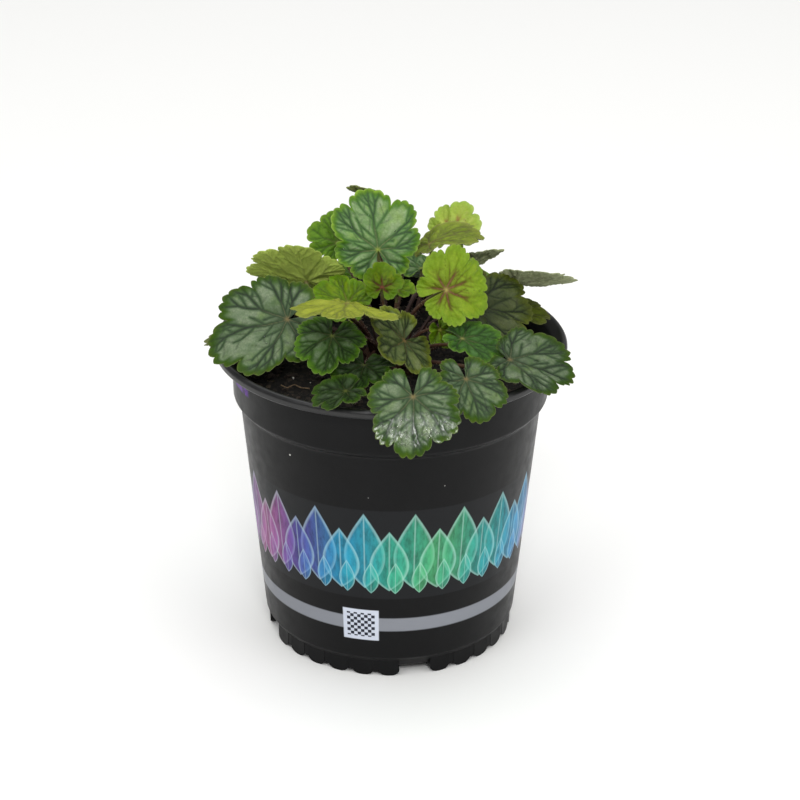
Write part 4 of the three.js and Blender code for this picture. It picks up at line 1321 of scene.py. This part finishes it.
def scatter(name, draw, count, sizes, flat, material):
    """Lumps strewn over the mix, half sunk in it, as one piece."""
    low, high = STREWN_RADII
    shells = []
    for _ in range(count):
        radius = math.sqrt(draw.uniform(low ** 2, high ** 2))
        turn = draw.uniform(0, 360)
        size = draw.uniform(*sizes)
        x, y, _ = heading(turn) * radius
        shells.append(chunk(draw, (x, y, crumbly(radius, turn) + size * flat * 0.3), size, flat))
    made = new_piece(name, *join(shells), [material])
    made.data.polygons.foreach_set("use_smooth", [False] * len(made.data.polygons))
    seat(made, "potting_mix")


def make_strand():
    """A thin pale root that lies on the mix at the front left."""
    path = np.array([(x, y, crumbly(*polar(x, y)) + STRAND_SEAT + lift) for x, y, lift in STRAND])
    t = np.linspace(0, len(path) - 1, 30)
    smooth = np.stack([np.interp(t, range(len(path)), path[:, k]) for k in range(3)], 1)
    for _ in range(3):
        smooth[1:-1] = (smooth[:-2] + smooth[1:-1] * 2 + smooth[2:]) / 4
    points, faces, _ = tube(smooth, np.full(len(smooth), STRAND_RADIUS), 8)
    root = bark_finish("dry_root", "#5A4A38", "#9A8468")
    seat(new_piece("root_strand", points, faces.tolist(), [root]), "potting_mix")


# ---- the pot ----


def rounded(corners, steps=5):
    """A profile whose corners [radius, height, rounding] are rounded off."""
    points = []
    count = len(corners)
    for index, (x, y, round_off) in enumerate(corners):
        here = np.array([x, y])
        if not round_off or index in (0, count - 1):
            points.append(here)
            continue
        before = np.array(corners[index - 1][:2]) - here
        after = np.array(corners[index + 1][:2]) - here
        first = here + unit(before) * min(round_off, np.linalg.norm(before) * 0.45)
        last = here + unit(after) * min(round_off, np.linalg.norm(after) * 0.45)
        for k in range(steps + 1):
            t = k / steps
            points.append((1 - t) ** 2 * first + 2 * t * (1 - t) * here + t ** 2 * last)
    return points


def prism(outline, radii, turn):
    """An outline of [across, height] points drawn out along a heading, from one radius to another."""
    out = heading(turn)
    side = heading(turn + 90)
    points = []
    for radius in radii:
        points += [out * radius + side * x + np.array([0, 0, z]) for x, z in outline]
    count = len(outline)
    faces = [tuple(range(count)), tuple(range(2 * count - 1, count - 1, -1))]
    faces += [(k, count + k, count + (k + 1) % count, (k + 1) % count) for k in range(count)]
    return points, faces


def arch(half, top, corner, low, steps=5):
    """An arch outline with round shoulders, from low up to top."""
    shoulder = []
    for k in range(steps + 1):
        angle = math.pi / 2 * k / steps
        shoulder.append((half - corner + corner * math.cos(angle), top - corner + corner * math.sin(angle)))
    return [(-half, low), (half, low)] + shoulder + [(-x, z) for x, z in reversed(shoulder)]


def tooth(half, end, high, steps=5):
    """A foot tooth's outline: straight flanks and a full round end that stands on the ground."""
    points = [(half, high), (-half, high)]
    for k in range(2 * steps + 1):
        angle = math.pi * k / (2 * steps)
        across = -math.cos(angle)
        height = end * (1 - math.sin(angle) ** 1.3)
        points.append((math.copysign(abs(across) ** 0.8, across) * half, height))
    return points


def wall_shell():
    """The pot's wall and floor, turned from one profile."""
    profile = rounded([
        (0, FLOOR_BOTTOM, 0),
        (FOOT_RADIUS - 1.6, FLOOR_BOTTOM, 1.2),
        (FOOT_RADIUS + 1.2, FOOT_TOP, 0.8),
        (body_radius(FOOT_TOP), FOOT_TOP + 1.2, 0.6),
        (body_radius(LEDGE_BOTTOM), LEDGE_BOTTOM, 1.2),
        (COLLAR_RADIUS - 0.4, COLLAR_BOTTOM, 1.0),
        (COLLAR_RADIUS, LIP_BOTTOM - 2.2, 1.2),
        (RIM_RADIUS - 0.8, LIP_BOTTOM - 1, 0.5),
        (RIM_RADIUS, LIP_BOTTOM, 0.4),
        (RIM_RADIUS, POT_HEIGHT - 1.3, 0.7),
        (RIM_RADIUS - 1, POT_HEIGHT - 0.1, 0.5),
        (RIM_RADIUS - 2.2, POT_HEIGHT, 0.5),
        (RIM_RADIUS - 4.6, POT_HEIGHT - 2.3, 2.0),
        (COLLAR_RADIUS - WALL, LIP_BOTTOM - 4.6, 2.0),
        (COLLAR_RADIUS - 0.4 - WALL, COLLAR_BOTTOM + 0.6, 0.8),
        (body_radius(LEDGE_BOTTOM) - WALL, LEDGE_BOTTOM, 0.8),
        (body_radius(FOOT_TOP) - WALL, FLOOR_TOP + 2.2, 1.2),
        (body_radius(FOOT_TOP) - WALL - 2.2, FLOOR_TOP, 1.2),
        (0, FLOOR_TOP, 0),
    ])
    return turned(profile[::-1], POT_SIDES)


def foot_shells():
    """The teeth and the webs between them, all but those that a drain would cut."""
    pitch = 360 / TOOTH_COUNT
    drain_pitch = 360 / DRAIN_COUNT
    past = [(k * pitch - DRAIN_TURN) % drain_pitch for k in range(TOOTH_COUNT)]
    kept = [k for k in range(TOOTH_COUNT) if min(past[k], drain_pitch - past[k]) > pitch * 0.6]
    web = [(WEB_HALF_WIDTH, TOOTH_TOP), (-WEB_HALF_WIDTH, TOOTH_TOP),
           (-WEB_HALF_WIDTH, WEB_BOTTOM), (WEB_HALF_WIDTH, WEB_BOTTOM)]
    shells = []
    for k in kept:
        shells.append(prism(tooth(TOOTH_HALF_WIDTH, TOOTH_ROUND, TOOTH_TOP), TOOTH_RADII, k * pitch))
        if (k + 1) % TOOTH_COUNT in kept:
            shells.append(prism(web, WEB_RADII, (k + 0.5) * pitch))
    return shells


def make_pot():
    """The moulded pot, with the drain arches cut out of it."""
    pot = new_piece("nursery_pot", *join([wall_shell(), *foot_shells()]), [pot_finish()])
    drain = arch(DRAIN_HALF_WIDTH, DRAIN_TOP, DRAIN_CORNER, -1)
    turns = [DRAIN_TURN + k * 360 / DRAIN_COUNT for k in range(DRAIN_COUNT)]
    cutter = new_piece("drain_cutter", *join([prism(drain, DRAIN_RADII, turn) for turn in turns]), [])
    cut = pot.modifiers.new("drains", "BOOLEAN")
    cut.operation = "DIFFERENCE"
    cut.solver = "EXACT"
    cut.object = cutter
    cut.use_self = True
    mesh = bpy.data.meshes.new_from_object(pot.evaluated_get(bpy.context.evaluated_depsgraph_get()))
    pot.modifiers.clear()
    pot.data = mesh
    mesh.name = "nursery_pot"
    mesh.shade_smooth()
    mesh.set_sharp_from_angle(angle=math.radians(SHARP_ANGLE))
    bpy.data.objects.remove(cutter)
    seat(pot, "pot_plastic", "pot")


# ---- the scene ----


def set_stage():
    """A plain pale floor in a white surround, brightest overhead and dim round the floor."""
    mesh = bpy.data.meshes.new("floor")
    far = FLOOR_HALF_SIDE
    corners = [(-far, -far, 0), (far, -far, 0), (far, far, 0), (-far, far, 0)]
    mesh.from_pydata(corners, [], [(0, 1, 2, 3)])
    floor = bpy.data.objects.new("floor", mesh)
    bpy.context.scene.collection.objects.link(floor)
    mesh.materials.append(finish("pale_floor", base_color="#F9F9F7", roughness=0.8)[0])
    world = bpy.data.worlds.new("surround")
    world.use_nodes = True
    tree = world.node_tree
    background = tree.nodes["Background"].inputs
    ahead = add(tree, "TexCoord").outputs["Generated"]
    rise = add(tree, "SeparateXYZ", {0: ahead}).outputs[2]
    add(tree, "MapRange", {0: rise, 1: 0.0, 2: 0.9, 3: SURROUND_DIM, 4: SURROUND_BRIGHT},
        to=background["Strength"])
    background["Color"].default_value = linear("#FFFFFF")
    bpy.context.scene.world = world
    bpy.context.scene.view_settings.view_transform = "Standard"


def make_plant():
    """The leaves, each with its own finish, and the crown that they grow from."""
    finishes = {name: leaf_finish(f"leaf_{name}", look) for name, look in LOOKS.items()}
    others = [petiole_finish(), hair_finish(), water_finish()]
    for number, row in enumerate(LEAVES, 1):
        make_leaf(number, described(number, row), [finishes[row["look"]], *others])
    make_crown()


set_camera()
set_lamps()
set_stage()
make_pot()
make_mix()
dice = random.Random(7)
chip = bark_finish("bark_chip", "#211E1C", "#4A4038")
scatter("bark_chips", dice, count=260, sizes=(1.0, 3.2), flat=0.45, material=chip)
scatter("perlite_grains", dice, count=14, sizes=(0.4, 0.9), flat=0.8, material=perlite_finish())
make_strand()
make_plant()
